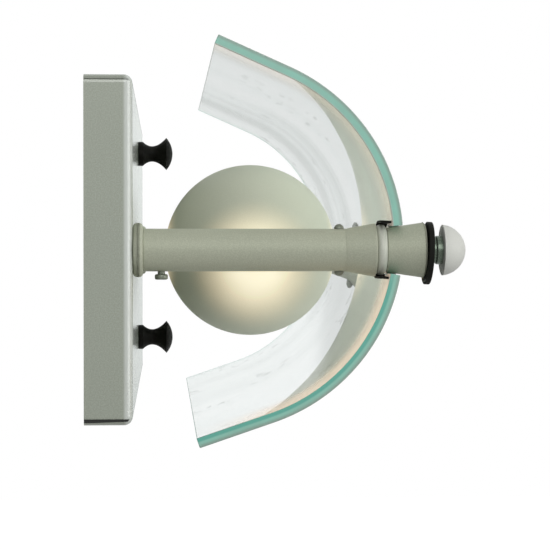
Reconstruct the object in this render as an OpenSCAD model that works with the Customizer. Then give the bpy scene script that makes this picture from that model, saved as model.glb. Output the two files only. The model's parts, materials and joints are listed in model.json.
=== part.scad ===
// Wall light with two arms that carry a clear half cylinder glass in front of two globe lamps.
// Frame: the wall is the plane y = 0, the light stands out towards -y, z is up, x runs along the glass.

/* [Back pan] */
// Width of the back pan along the wall
pan_width = 380; // [350:5:460]
// Height of the back pan
pan_height = 155.5; // [146:0.5:180]
// Distance from the wall to the pan's front face
pan_depth = 21.5; // [19:0.5:28]
// Sheet thickness of the pan
pan_wall = 1; // [0.8:0.1:1.4]
// Outer radius of the pressed front edges and corners
pan_edge_radius = 3.8; // [2.4:0.2:6]
// Width of the lip folded inwards at the wall
pan_lip = 6; // [4:0.5:9]
// Distance of the folded seam lines from the top and bottom faces
seam_inset = 2.4; // [1.4:0.1:3]
// Depth of the seam lines
seam_depth = 0.7; // [0.3:0.05:0.8]
// Width of the upper seam line
seam_width = 0.5; // [0.3:0.1:0.8]
// Width of the lower seam line, which gapes
low_seam_width = 1.2; // [0.5:0.1:1.6]
// Width of the pressed line round the front face
line_width = 0.4; // [0.3:0.1:0.8]
// Depth of the pressed line
line_depth = 0.3; // [0.2:0.05:0.5]

/* [Wall fixing] */
// Length of the steel crossbar that is screwed to the wall box
crossbar_length = 122; // [116:1:128]
// Width of the crossbar
crossbar_width = 22; // [18:1:30]
// Thickness of the crossbar
crossbar_thickness = 2; // [1.5:0.25:3]
// Spacing of the slots for the wall box screws
box_slot_spacing = 69.85; // [66:0.05:72]
// Width of a slot
box_slot_width = 4.6; // [4.2:0.1:5.4]
// Overall length of a slot
box_slot_length = 10; // [8:0.5:12]
// Distance between the two mounting studs
stud_spacing = 100; // [97:0.5:104]
// Height of the middle of the studs over the middle of the pan
stud_centre_height = 2.5; // [0:0.5:4]
// Radius of a stud
stud_radius = 2.1; // [1.8:0.1:2.4]
// Radial play of a stud in its hole in the pan
stud_play = 0.4; // [0.2:0.1:1]
// Length of stud inside its knob
stud_grip = 11; // [8:0.5:12]
// Across corners diameter of the stud nuts
stud_nut_diameter = 8.6; // [7.6:0.2:10]
// Thickness of the stud nuts
stud_nut_height = 3; // [2.4:0.2:4]
// Head diameter of the earth screw
earth_head_diameter = 8; // [6:0.5:9]

/* [Mounting knobs] */
// Radius of the knob's foot
knob_foot_radius = 6.6; // [5.6:0.2:8]
// Length of the straight part of the foot
knob_foot_length = 2.4; // [1.6:0.2:3.6]
// Radius of the waist
knob_waist_radius = 4.2; // [3.8:0.1:5]
// Distance of the waist from the foot
knob_waist_distance = 7.4; // [6.6:0.2:8.6]
// Radius of the sharp outer rim
knob_rim_radius = 8.8; // [7.6:0.2:11]
// Distance of the rim from the foot
knob_rim_distance = 15.2; // [14:0.2:17]
// Height of the crowned front over the rim
knob_crown = 3.4; // [2:0.2:5]

/* [Arms] */
// Distance of an arm's axis from the end of the glass
arm_inset = 13.5; // [13:0.5:20]
// Radius of the flange at the pan
flange_radius = 12.2; // [11.4:0.2:13.4]
// Thickness of the flange
flange_thickness = 4.6; // [4:0.1:7]
// Outer radius of the arm tube
tube_radius = 9.6; // [9.2:0.1:10.2]
// Wall of the arm tube
tube_wall = 1.3; // [1:0.1:1.8]
// Length of the arm tube
tube_length = 90.8; // [84:0.1:120]
// Length of the flange's spigot inside the tube
flange_spigot_length = 14; // [12:0.5:20]
// Radius of the threaded rod that runs through the arm
rod_radius = 3; // [2.5:0.1:3.4]
// Length of rod inside the pan behind its front sheet
rod_tail = 9; // [8:0.5:11]
// Across corners diameter of the rod nut
rod_nut_diameter = 12.7; // [11:0.1:14]
// Thickness of the rod nut
rod_nut_height = 4.5; // [3.5:0.5:5.5]
// Radius of the washer under the rod nut
rod_washer_radius = 8.5; // [7.5:0.5:10]
// Thickness of that washer
rod_washer_thickness = 1.2; // [0.8:0.1:1.6]
// Radial play where the arm's pieces slide on each other
slip_gap = 0.1; // [0.05:0.05:0.15]
// Radial play of a turning screw or nut on its thread
thread_gap = 0.06; // [0.02:0.02:0.1]

/* [Thumb screws] */
// Distance of a thumb screw from the flange's front
thumb_screw_offset = 8.1; // [6:0.1:10]
// Radius of its shank
thumb_shank_radius = 1.65; // [1.3:0.05:2]
// Visible length of its shank
thumb_shank_length = 1.2; // [0.8:0.1:2]
// Radius of its head
thumb_head_radius = 2.95; // [2.5:0.05:4]
// Thickness of its head
thumb_head_height = 2.5; // [2:0.1:3.5]

/* [Glass clamp] */
// Length of the flared collar
collar_length = 13.8; // [11:0.1:16]
// Largest radius of the flared collar
collar_radius = 12.1; // [11.4:0.1:13]
// Length of the collar's spigot inside the tube
collar_spigot_length = 9; // [7:0.5:14]
// Distance of the collar screws from the end of the tube
collar_screw_inset = 2.6; // [2.4:0.1:4]
// Radius of a collar screw's head
collar_screw_head_radius = 2.3; // [1.8:0.05:2.5]
// Height of a collar screw's head
collar_screw_head_height = 2.2; // [1.2:0.1:2.3]
// Radius of a collar screw's shank
collar_screw_radius = 1.2; // [1:0.05:1.5]
// Radius of the bright ring
ring_radius = 11.6; // [11:0.1:12.2]
// Thickness of the bright ring
ring_thickness = 4.8; // [3.6:0.1:5.4]
// Wall of the rubber saddle round the ring
saddle_wall = 1.1; // [1:0.1:1.8]
// Distance of the saddle's open ends from the end of the glass
saddle_leg_inset = 1.5; // [1:0.5:4]
// Radius of the cone where it meets the ring
cone_small_radius = 10; // [9.4:0.1:10.4]
// Radius of the cone at its outer end
cone_large_radius = 12.5; // [12:0.1:13.6]
// Length of the cone, from the ring through the notch in the glass
cone_length = 17.3; // [16:0.1:20]
// Rounding of the cone's outer edge
cone_edge_radius = 1.2; // [0.6:0.1:1.6]
// Radius of the loose rubber washer
washer_radius = 14.2; // [13.6:0.1:15.6]
// Thickness of the loose rubber washer
washer_thickness = 2.4; // [2:0.1:3.2]
// Radius of the washer's bore
washer_bore = 8.2; // [7.8:0.1:9]
// Room between the washer's bore and the neck that it hangs on
washer_play = 0.3; // [0.2:0.05:0.6]
// Lean of the loose washer in degrees
washer_lean = 2.6; // [0:0.1:3.5]

/* [Finials] */
// Radius of the finial's neck
neck_radius = 6.5; // [5.4:0.1:6.8]
// Length of the neck
neck_length = 8.2; // [7.6:0.1:11]
// Radius of the dome
dome_radius = 11.5; // [10:0.1:13]
// Height of the dome
dome_height = 10.8; // [9.4:0.1:12.6]
// Depth of the rod in the dome
rod_grip = 5; // [3:0.5:6]

/* [Glass] */
// Outer radius of the bent glass
glass_radius = 84.7; // [80:0.1:92]
// Thickness of the glass
glass_thickness = 4.6; // [3.8:0.1:6]
// Half angle of the bent part in degrees
glass_half_angle = 68.6; // [62:0.1:76]
// Length of the straight part at the top and the bottom
glass_straight = 35.2; // [20:0.1:40]
// Room between the cones and the notches that they pass
notch_play = 0.2; // [0.1:0.05:0.5]
// Lean of the glass on its clamps in degrees
glass_tilt = 2.6; // [0:0.1:3]

/* [Lamp carrier] */
// Distance of the lamp axis from the wall
lamp_distance = 77.4; // [72:0.1:80]
// Height of the lamp axis over the middle of the pan
lamp_height = 0; // [-2:0.5:1]
// Radius of the centre post
post_radius = 6.5; // [6:0.1:8]
// Radius of the bore in the centre post
post_bore = 4.4; // [4.2:0.1:4.8]
// Wall of the nipple that passes the pan
nipple_wall = 1.2; // [0.9:0.1:1.4]
// Across corners diameter of the post's nut
post_nut_diameter = 17; // [15:0.5:20]
// Thickness of the post's nut
post_nut_height = 4; // [3:0.5:5]
// Radius of the flange under the post
post_flange_radius = 13; // [11:0.5:16]
// Thickness of the flange under the post
post_flange_thickness = 4; // [3:0.5:6]
// Radius of the hub between the two sockets
hub_radius = 12; // [11:0.5:14]
// Half length of the hub
hub_half_length = 16; // [12:0.5:18]
// Wall of the hub
hub_wall = 1.6; // [1.2:0.1:2.2]

/* [Sockets] */
// Length of the socket cup
cup_length = 44; // [40:0.5:45]
// Wall of the socket cup
cup_wall = 1; // [0.8:0.1:1.4]
// Wall of the insulating holder round the screw shell
holder_wall = 3; // [2.4:0.1:3.6]
// Thickness of the holder's floor behind the lamp
holder_floor = 12; // [10:0.5:14]
// Distance of the holder's mouth behind the cup's mouth
holder_recess = 2; // [1:0.5:4]
// Sheet thickness of the screw shell
shell_wall = 0.5; // [0.3:0.1:0.8]
// Radial play between the pieces of a socket
socket_gap = 0.15; // [0.1:0.05:0.3]

/* [Lamps] */
// Radius of the globe
globe_radius = 41.5; // [36:0.5:43]
// Overall length of a lamp
lamp_length = 114.4; // [112:0.2:120]
// Radius of the lamp's screw cap
cap_radius = 13; // [12.8:0.1:13.2]
// Length of the screw cap
cap_length = 23; // [21:0.5:25]
// Wall of the lamp's glass
bulb_wall = 0.9; // [0.7:0.1:1.2]
// Half width of the filament and its supports
filament_half_width = 6; // [4:0.5:9]
// Distance of the filament from the middle of the globe
filament_setback = 6; // [4:0.5:10]
// Radius of the filament
filament_radius = 0.5; // [0.3:0.1:0.8]

/* [Wiring] */
// Radius of an insulated lead
lead_radius = 1; // [0.8:0.1:1.1]
// Distance of a lead from the middle of the post bore
lead_offset = 1.7; // [1.6:0.1:1.8]
// Large radius of a wire connector
connector_radius = 5; // [4:0.5:6]
// Length of a wire connector
connector_length = 15; // [12:1:18]

/* [Hidden] */
$fn = 96;
eps = 0.01;
over = 1;
seat_gap = 0.05;
thread_room = 0.6;
arm_x = pan_width / 2 - arm_inset;
glass_width = pan_width;
glass_inner_radius = glass_radius - glass_thickness;
saddle_bore = ring_radius + slip_gap + ring_thickness * sin(glass_tilt);
saddle_radius = saddle_bore + saddle_wall;

// The glass rests on the cones, so it hangs this far under the arms' axes
glass_drop = notch_play - seat_gap;

// Stations along an arm, measured from the wall
flange_front = pan_depth + flange_thickness;
tube_end = flange_front + tube_length;
collar_end = tube_end + collar_length;
ring_end = collar_end + ring_thickness;
saddle_reach = saddle_radius + glass_drop;
saddle_sag = glass_inner_radius - sqrt(glass_inner_radius * glass_inner_radius - saddle_reach * saddle_reach);
saddle_rise = saddle_radius * sin(glass_tilt);
glass_inner_front = ring_end + saddle_sag + saddle_rise + seat_gap;
glass_front = glass_inner_front + glass_thickness;
cone_taper = (cone_large_radius - cone_small_radius) / (cone_length - cone_edge_radius);
notch_radius = cone_small_radius + cone_taper * (glass_front - ring_end) + notch_play;
cone_end = ring_end + cone_length;
neck_end = cone_end + neck_length;
dome_end = neck_end + dome_height;
rod_start = pan_depth - pan_wall - rod_tail;
rod_end = neck_end + rod_grip;
tube_bore = tube_radius - tube_wall;
rod_hole = rod_radius + slip_gap;
washer_drop = washer_bore - neck_radius - washer_play;
washer_station = cone_end + washer_thickness / 2 + washer_radius * sin(washer_lean) + seat_gap;

// Stations along a lamp, measured outwards from the middle plane
cup_start = hub_half_length;
cup_end = cup_start + cup_length;
holder_start = cup_start + cup_wall;
holder_end = cup_end - holder_recess;
shell_floor = holder_start + holder_floor;
shell_radius = cap_radius + thread_gap + shell_wall;
holder_bore = shell_radius + socket_gap;
holder_radius = holder_bore + holder_wall;
cup_radius = holder_radius + socket_gap + cup_wall;
contact_height = 4.5;
contact_base_height = 0.6;
contact_radius = 3;
contact_base_radius = 5;
contact_play = 0.3;
lamp_start = shell_floor + contact_height + contact_play;
cap_tip = 2;
cap_start = lamp_start + cap_tip;
cap_end = cap_start + cap_length;
lamp_end = lamp_start + lamp_length;
globe_centre = lamp_end - globe_radius;

// The globe takes over from the neck where its surface leans at 45 degrees
globe_join_radius = globe_radius * sin(45);
globe_join = globe_centre - globe_radius * cos(45);
neck_power = (globe_join - cap_end) / (globe_join_radius - cap_radius);
stem_length = 22;
stem_foot_radius = 8;
stem_top_radius = 3;
stem_neck_radius = 2;
support_length = 12;
support_radius = 0.4;

// Stations of the centre post, measured from the wall
nipple_radius = post_bore + nipple_wall;
nipple_tail = 1;
nipple_start = pan_depth - pan_wall - post_nut_height - nipple_tail;
post_start = pan_depth + post_flange_thickness;
post_end = lamp_distance - hub_radius + 2 * hub_wall;

// Knob and stud lengths
stud_end = pan_depth + stud_grip;
stud_heights = [stud_centre_height - stud_spacing / 2, stud_centre_height + stud_spacing / 2];
earth_screw_height = 16;

// Places on the routes of the leads inside the pan
connector_x = 30;
connector_distance = 9.5;
connector_taper = 0.65;
earth_connector_height = 26;
lead_bend = 3;
lead_steps = 6;
lead_spacing = 1;
earth_bend_x = [16, 22];

// Puts a shape drawn upwards from z = 0 at an arm, with its z as distance from the wall
module on_arm(side) {
    translate([side * arm_x, 0, 0])
        rotate([90, 0, 0])
            children();
}

// Puts a shape drawn upwards from z = 0 on the pan, with its z as distance from the wall
module on_pan(x, height) {
    translate([x, 0, height])
        rotate([90, 0, 0])
            children();
}

// Puts a shape on the lamp axis, with its z as distance from the middle plane
module on_lamp_axis(side) {
    translate([0, -lamp_distance, lamp_height])
        rotate([0, side * 90, 0])
            children();
}

// Puts a profile drawn with x as distance from the wall and y as height along the whole width
module across_width() {
    rotate([90, 0, -90])
        children();
}

// A washer or tube section between two stations
module sleeve(start, end, outer, inner) {
    translate([0, 0, start])
        difference() {
            cylinder(h = end - start, r = outer);
            translate([0, 0, -over])
                cylinder(h = end - start + 2 * over, r = inner);
        }
}

// A disc with a full round rim and a bore
module bullnose_disc(start, thickness, outer, inner) {
    rim = thickness / 2;
    translate([0, 0, start])
        rotate_extrude() {
            translate([inner, 0])
                square([outer - rim - inner, thickness]);
            translate([outer - rim, rim])
                circle(r = rim, $fn = 48);
        }
}

// A hexagon nut between two stations
module hex_nut(start, height, across, bore) {
    translate([0, 0, start])
        difference() {
            cylinder(h = height, d = across, $fn = 6);
            translate([0, 0, -over])
                cylinder(h = height + 2 * over, r = bore);
        }
}

// A pressed box with round front edges, open nowhere, from the wall to the given distance
module pressed_box(width, height, depth, radius) {
    straight_width = width - 2 * radius;
    straight_height = height - 2 * radius;
    straight_depth = depth - radius;
    union() {
        translate([-straight_width / 2, -height / 2, 0])
            cube([straight_width, height, straight_depth]);
        translate([-width / 2, -straight_height / 2, 0])
            cube([width, straight_height, straight_depth]);
        translate([-straight_width / 2, -straight_height / 2, 0])
            cube([straight_width, straight_height, depth]);
        for (sx = [-1, 1], sy = [-1, 1]) {
            translate([sx * straight_width / 2, sy * straight_height / 2, 0])
                cylinder(h = straight_depth, r = radius);
            translate([sx * straight_width / 2, sy * straight_height / 2, straight_depth])
                sphere(r = radius);
        }
        for (sx = [-1, 1])
            translate([sx * straight_width / 2, straight_height / 2, straight_depth])
                rotate([90, 0, 0])
                    cylinder(h = straight_height, r = radius);
        for (sy = [-1, 1])
            translate([-straight_width / 2, sy * straight_height / 2, straight_depth])
                rotate([0, 90, 0])
                    cylinder(h = straight_width, r = radius);
    }
}

// Pressed steel pan, open towards the wall, with a lip folded inwards there
module back_pan() {
    line_x = pan_width / 2 - pan_edge_radius;
    line_z = pan_height / 2 - pan_edge_radius;
    color([0.62, 0.64, 0.59])
        rotate([90, 0, 0])
            difference() {
                pressed_box(pan_width, pan_height, pan_depth, pan_edge_radius);
                difference() {
                    translate([0, 0, -eps])
                        pressed_box(pan_width - 2 * pan_wall, pan_height - 2 * pan_wall,
                                    pan_depth - pan_wall + eps, pan_edge_radius - pan_wall);
                    difference() {
                        translate([-pan_width / 2, -pan_height / 2, -over])
                            cube([pan_width, pan_height, pan_wall + over]);
                        translate([-pan_width / 2 + pan_lip, -pan_height / 2 + pan_lip, -2 * over])
                            cube([pan_width - 2 * pan_lip, pan_height - 2 * pan_lip, pan_wall + 4 * over]);
                    }
                }
                for (height = stud_heights)
                    translate([0, height, 0])
                        cylinder(h = pan_depth + over, r = stud_radius + stud_play);
                for (side = [-1, 1])
                    translate([side * arm_x, 0, 0])
                        cylinder(h = pan_depth + over, r = rod_hole);
                translate([0, lamp_height, 0])
                    cylinder(h = pan_depth + over, r = nipple_radius + slip_gap);
                for (sx = [-1, 1]) {
                    translate([sx * pan_width / 2 - seam_depth, pan_height / 2 - seam_inset - seam_width / 2, -over])
                        cube([2 * seam_depth, seam_width, pan_depth - pan_edge_radius + over]);
                    translate([sx * pan_width / 2 - seam_depth, seam_inset - low_seam_width / 2 - pan_height / 2, -over])
                        cube([2 * seam_depth, low_seam_width, pan_depth - pan_edge_radius + over]);
                }
                difference() {
                    translate([-line_x, -line_z, pan_depth - line_depth])
                        cube([2 * line_x, 2 * line_z, line_depth + over]);
                    translate([line_width - line_x, line_width - line_z, pan_depth - 2 * line_depth])
                        cube([2 * (line_x - line_width), 2 * (line_z - line_width), line_depth + 2 * over]);
                }
            }
}

// Steel strap with slots for the wall box screws and holes for the studs and the earth screw
module mounting_crossbar() {
    slot_straight = box_slot_length - box_slot_width;
    color([0.72, 0.73, 0.74])
        rotate([90, 0, 0])
            difference() {
                translate([-crossbar_width / 2, stud_centre_height - crossbar_length / 2, 0])
                    cube([crossbar_width, crossbar_length, crossbar_thickness]);
                for (sy = [-1, 1]) {
                    for (end = [-1, 1])
                        translate([0, sy * box_slot_spacing / 2 + end * slot_straight / 2, -over])
                            cylinder(h = crossbar_thickness + 2 * over, r = box_slot_width / 2);
                    translate([-box_slot_width / 2, sy * box_slot_spacing / 2 - slot_straight / 2, -over])
                        cube([box_slot_width, slot_straight, crossbar_thickness + 2 * over]);
                }
                for (height = stud_heights)
                    translate([0, height, -over])
                        cylinder(h = crossbar_thickness + 2 * over, r = stud_radius + thread_gap);
                translate([0, earth_screw_height, -over])
                    cylinder(h = crossbar_thickness + 2 * over, r = stud_radius + thread_gap);
            }
}

// Two studs from the crossbar through the pan into the knobs
module mounting_studs() {
    color([0.7, 0.71, 0.72])
        for (height = stud_heights)
            on_pan(0, height)
                cylinder(h = stud_end, r = stud_radius);
}

// Hexagon nuts that lock the studs on the crossbar
module stud_nuts() {
    color([0.75, 0.76, 0.77])
        for (height = stud_heights)
            on_pan(0, height)
                hex_nut(crossbar_thickness, stud_nut_height, stud_nut_diameter, stud_radius + thread_gap);
}

// Green earth screw in the crossbar
module earth_screw() {
    head_height = 2;
    slot_depth = 0.8;
    slot_width = 1;
    head_chamfer = 0.5;
    color([0.2, 0.5, 0.25])
        on_pan(0, earth_screw_height)
            difference() {
                union() {
                    cylinder(h = crossbar_thickness + 2 * lead_radius + eps, r = stud_radius);
                    translate([0, 0, crossbar_thickness + 2 * lead_radius])
                        cylinder(h = head_height, d1 = earth_head_diameter, d2 = earth_head_diameter - 2 * head_chamfer);
                }
                translate([-earth_head_diameter / 2, -slot_width / 2, crossbar_thickness + 2 * lead_radius
                           + head_height - slot_depth])
                    cube([earth_head_diameter, slot_width, slot_depth + over]);
            }
}

// Radius of the knob at a distance from its foot: two parabolas that meet at the waist
function knob_radius(s) = s < knob_waist_distance
    ? knob_waist_radius + (knob_foot_radius - knob_waist_radius)
        * pow((knob_waist_distance - s) / (knob_waist_distance - knob_foot_length), 2)
    : knob_waist_radius + (knob_rim_radius - knob_waist_radius)
        * pow((s - knob_waist_distance) / (knob_rim_distance - knob_waist_distance), 2);

// Waisted knob with a crowned front and a blind threaded bore
module mounting_knob(height) {
    steps = 14;
    span = knob_rim_distance - knob_foot_length;
    crown_radius = (knob_rim_radius * knob_rim_radius + knob_crown * knob_crown) / (2 * knob_crown);
    profile = concat(
        [[0, 0], [knob_foot_radius, 0]],
        [for (i = [0 : steps])
            [knob_radius(knob_foot_length + span * i / steps), knob_foot_length + span * i / steps]],
        [[0, knob_rim_distance]]);
    color([0.09, 0.09, 0.08])
        on_pan(0, height)
            translate([0, 0, pan_depth])
                difference() {
                    union() {
                        rotate_extrude()
                            polygon(profile);
                        intersection() {
                            translate([0, 0, knob_rim_distance + knob_crown - crown_radius])
                                sphere(r = crown_radius);
                            translate([0, 0, knob_rim_distance - eps])
                                cylinder(h = knob_crown + over, r = knob_rim_radius);
                        }
                    }
                    translate([0, 0, -over])
                        cylinder(h = stud_grip + over + thread_room, r = stud_radius + thread_gap);
                }
}

module mounting_knob_upper() {
    mounting_knob(stud_heights[1]);
}

module mounting_knob_lower() {
    mounting_knob(stud_heights[0]);
}

// Round flange on the pan with a spigot for the arm tube
module arm_flange(side) {
    color([0.60, 0.62, 0.56])
        on_arm(side) {
            difference() {
                union() {
                    bullnose_disc(pan_depth, flange_thickness, flange_radius, rod_hole);
                    sleeve(flange_front - eps, flange_front + flange_spigot_length, tube_bore - slip_gap, rod_hole);
                }
                translate([0, 0, pan_depth - over])
                    cylinder(h = flange_thickness + flange_spigot_length + 2 * over, r = rod_hole);
            }
        }
}

module arm_flange_left() {
    arm_flange(-1);
}

module arm_flange_right() {
    arm_flange(1);
}

// Straight arm tube, drilled for its thumb screw and its two collar screws
module arm_tube(side) {
    color([0.66, 0.68, 0.61])
        on_arm(side)
            difference() {
                sleeve(flange_front, tube_end, tube_radius, tube_bore);
                translate([0, 0, flange_front + thumb_screw_offset])
                    rotate([90, 0, 0])
                        cylinder(h = tube_radius + over, r = thumb_shank_radius + thread_gap);
                for (turn = [-90, 90])
                    translate([0, 0, tube_end - collar_screw_inset])
                        rotate([turn, 0, 0])
                            cylinder(h = tube_radius + over, r = collar_screw_radius + thread_gap);
            }
}

module arm_tube_left() {
    arm_tube(-1);
}

module arm_tube_right() {
    arm_tube(1);
}

// Threaded rod that pulls the arm together from the pan to the finial
module arm_rod(side) {
    color([0.72, 0.72, 0.7])
        on_arm(side)
            translate([0, 0, rod_start])
                cylinder(h = rod_end - rod_start, r = rod_radius);
}

module arm_rod_left() {
    arm_rod(-1);
}

module arm_rod_right() {
    arm_rod(1);
}

// Nuts on the rods inside the pan
module rod_nuts() {
    nut_start = pan_depth - pan_wall - rod_washer_thickness - rod_nut_height;
    color([0.75, 0.76, 0.77])
        for (side = [-1, 1])
            on_arm(side)
                hex_nut(nut_start, rod_nut_height, rod_nut_diameter, rod_radius + thread_gap);
}

// Washers under the rod nuts
module rod_washers() {
    washer_end = pan_depth - pan_wall;
    color([0.75, 0.76, 0.77])
        for (side = [-1, 1])
            on_arm(side)
                sleeve(washer_end - rod_washer_thickness, washer_end, rod_washer_radius, rod_hole);
}

// Small round-headed thumb screw under the arm, with its tip at the flange's spigot
module thumb_screw(side) {
    tip = tube_bore - slip_gap + seat_gap;
    head_start = tube_radius + thumb_shank_length;
    color([0.30, 0.30, 0.26])
        on_arm(side)
            translate([0, 0, flange_front + thumb_screw_offset])
                rotate([90, 0, 0]) {
                    translate([0, 0, tip])
                        cylinder(h = head_start - tip + eps, r = thumb_shank_radius);
                    bullnose_disc(head_start, thumb_head_height, thumb_head_radius, 0);
                }
}

module thumb_screw_left() {
    thumb_screw(-1);
}

module thumb_screw_right() {
    thumb_screw(1);
}

// Flared collar at the end of the tube, with a spigot inside it
module flared_collar(side) {
    color([0.64, 0.66, 0.60])
        on_arm(side)
            difference() {
                union() {
                    translate([0, 0, tube_end])
                        cylinder(h = collar_length, r1 = tube_radius + slip_gap, r2 = collar_radius);
                    translate([0, 0, tube_end - collar_spigot_length])
                        cylinder(h = collar_spigot_length + eps, r = tube_bore - slip_gap);
                }
                translate([0, 0, tube_end - collar_spigot_length - over])
                    cylinder(h = collar_spigot_length + collar_length + 2 * over, r = rod_hole);
                for (turn = [-90, 90])
                    translate([0, 0, tube_end - collar_screw_inset])
                        rotate([turn, 0, 0])
                            cylinder(h = tube_radius + over, r = collar_screw_radius + thread_gap);
            }
}

module flared_collar_left() {
    flared_collar(-1);
}

module flared_collar_right() {
    flared_collar(1);
}

// Button-headed screws through the tube into the collar's spigot, above and below each arm
module collar_screws() {
    shank_start = rod_hole + thread_room;
    head_sphere = (pow(collar_screw_head_radius, 2) + pow(collar_screw_head_height, 2))
        / (2 * collar_screw_head_height);
    color([0.55, 0.56, 0.50])
        for (side = [-1, 1], turn = [-90, 90])
            on_arm(side)
                translate([0, 0, tube_end - collar_screw_inset])
                    rotate([turn, 0, 0]) {
                        translate([0, 0, shank_start])
                            cylinder(h = tube_radius - shank_start + eps, r = collar_screw_radius);
                        intersection() {
                            translate([0, 0, tube_radius + collar_screw_head_height - head_sphere])
                                sphere(r = head_sphere, $fn = 48);
                            translate([0, 0, tube_radius])
                                cylinder(h = collar_screw_head_height + over, r = collar_screw_head_radius);
                        }
                    }
}

// Bright ring with a full round rim between the collar and the glass
module clamp_ring(side) {
    color([0.74, 0.76, 0.71])
        on_arm(side)
            bullnose_disc(collar_end, ring_thickness, ring_radius, rod_hole);
}

module clamp_ring_left() {
    clamp_ring(-1);
}

module clamp_ring_right() {
    clamp_ring(1);
}

// U-shaped rubber saddle round the ring, open towards the end of the light, leaning with the glass
module rubber_saddle(side) {
    leg = arm_inset - saddle_leg_inset;
    color([0.08, 0.08, 0.07])
        on_arm(side)
            translate([0, 0, glass_inner_front])
                rotate([glass_tilt, 0, 0])
                    translate([0, 0, -saddle_sag - seat_gap - ring_thickness])
                        mirror([side > 0 ? 0 : 1, 0, 0])
                            linear_extrude(height = ring_thickness)
                                difference() {
                                    union() {
                                        circle(r = saddle_radius);
                                        translate([0, -saddle_radius])
                                            square([leg, 2 * saddle_radius]);
                                    }
                                    circle(r = saddle_bore);
                                    translate([0, -saddle_bore])
                                        square([leg + over, 2 * saddle_bore]);
                                    translate([leg, -saddle_radius - over])
                                        square([saddle_radius, 2 * saddle_radius + 2 * over]);
                                }
}

module rubber_saddle_left() {
    rubber_saddle(-1);
}

module rubber_saddle_right() {
    rubber_saddle(1);
}

// Bent glass with straight ends, drawn with x as distance from the wall and its axis at the origin
module glass_profile() {
    reach = 2 * glass_radius;
    union() {
        intersection() {
            difference() {
                circle(r = glass_radius, $fn = 180);
                circle(r = glass_inner_radius, $fn = 180);
            }
            polygon([[0, 0],
                     [reach * cos(glass_half_angle), reach * sin(glass_half_angle)],
                     [reach, reach * sin(glass_half_angle)],
                     [reach, -reach * sin(glass_half_angle)],
                     [reach * cos(glass_half_angle), -reach * sin(glass_half_angle)]]);
        }
        for (sign = [-1, 1])
            rotate([0, 0, sign * glass_half_angle])
                translate([glass_inner_radius, sign > 0 ? 0 : -glass_straight])
                    square([glass_thickness, glass_straight]);
    }
}

// Clear half cylinder shade with a U-shaped notch at each end, resting on the cones
module glass_shade() {
    color([0.75, 0.88, 0.84, 0.35])
        difference() {
            across_width()
                translate([glass_front, -glass_drop])
                    rotate([0, 0, -glass_tilt])
                        translate([-glass_radius, 0, -glass_width / 2])
                            linear_extrude(height = glass_width)
                                glass_profile();
            for (side = [-1, 1])
                on_arm(side)
                    translate([0, -glass_drop, 0]) {
                        translate([0, 0, glass_inner_front - glass_thickness])
                            cylinder(h = 3 * glass_thickness, r = notch_radius);
                        translate([side > 0 ? 0 : -arm_inset - over, -notch_radius, glass_inner_front - glass_thickness])
                            cube([arm_inset + over, 2 * notch_radius, 3 * glass_thickness]);
                    }
        }
}

// Cone from the ring through the notch, which wedges the glass against the saddle
module clamp_cone(side) {
    color([0.63, 0.64, 0.56])
        on_arm(side)
            difference() {
                union() {
                    translate([0, 0, ring_end + seat_gap])
                        cylinder(h = cone_length - cone_edge_radius - seat_gap, r1 = cone_small_radius,
                                 r2 = cone_large_radius);
                    translate([0, 0, cone_end - cone_edge_radius - eps])
                        rotate_extrude() {
                            square([cone_large_radius - cone_edge_radius, cone_edge_radius + eps]);
                            intersection() {
                                translate([cone_large_radius - cone_edge_radius, 0])
                                    circle(r = cone_edge_radius, $fn = 48);
                                square([cone_large_radius, cone_edge_radius + eps]);
                            }
                        }
                }
                translate([0, 0, ring_end - over])
                    cylinder(h = cone_end - ring_end + 2 * over, r = rod_hole);
            }
}

module clamp_cone_left() {
    clamp_cone(-1);
}

module clamp_cone_right() {
    clamp_cone(1);
}

// Loose rubber washer that hangs and leans on the finial's neck
module rubber_washer(side) {
    color([0.10, 0.10, 0.09])
        on_arm(side)
            translate([0, -washer_drop, washer_station])
                rotate([washer_lean, 0, 0])
                    sleeve(-washer_thickness / 2, washer_thickness / 2, washer_radius, washer_bore);
}

module rubber_washer_left() {
    rubber_washer(-1);
}

module rubber_washer_right() {
    rubber_washer(1);
}

// Dark neck of the finial, tapped for the rod
module finial_neck(side) {
    color([0.14, 0.17, 0.14])
        on_arm(side)
            sleeve(cone_end, neck_end, neck_radius, rod_radius + thread_gap);
}

module finial_neck_left() {
    finial_neck(-1);
}

module finial_neck_right() {
    finial_neck(1);
}

// Half ball of the finial
module finial_dome(side) {
    ball = (dome_radius * dome_radius + dome_height * dome_height) / (2 * dome_height);
    color([0.82, 0.82, 0.80])
        on_arm(side)
            difference() {
                intersection() {
                    translate([0, 0, dome_end - ball])
                        sphere(r = ball);
                    translate([0, 0, neck_end])
                        cylinder(h = dome_height + over, r = dome_radius + over);
                }
                translate([0, 0, neck_end - over])
                    cylinder(h = rod_grip + over + thread_room, r = rod_radius + thread_gap);
            }
}

module finial_dome_left() {
    finial_dome(-1);
}

module finial_dome_right() {
    finial_dome(1);
}

// Flange on the pan under the centre post
module post_flange() {
    color([0.64, 0.66, 0.60])
        on_pan(0, lamp_height)
            bullnose_disc(pan_depth, post_flange_thickness, post_flange_radius, nipple_radius + slip_gap);
}

// Hollow post from the pan to the hub, with a nipple through the pan
module centre_post() {
    color([0.66, 0.68, 0.61])
        on_pan(0, lamp_height)
            difference() {
                union() {
                    translate([0, 0, nipple_start])
                        cylinder(h = post_start - nipple_start + eps, r = nipple_radius);
                    translate([0, 0, post_start])
                        cylinder(h = post_end - post_start, r = post_radius);
                }
                translate([0, 0, nipple_start - over])
                    cylinder(h = post_end - nipple_start + 2 * over, r = post_bore);
            }
}

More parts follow.
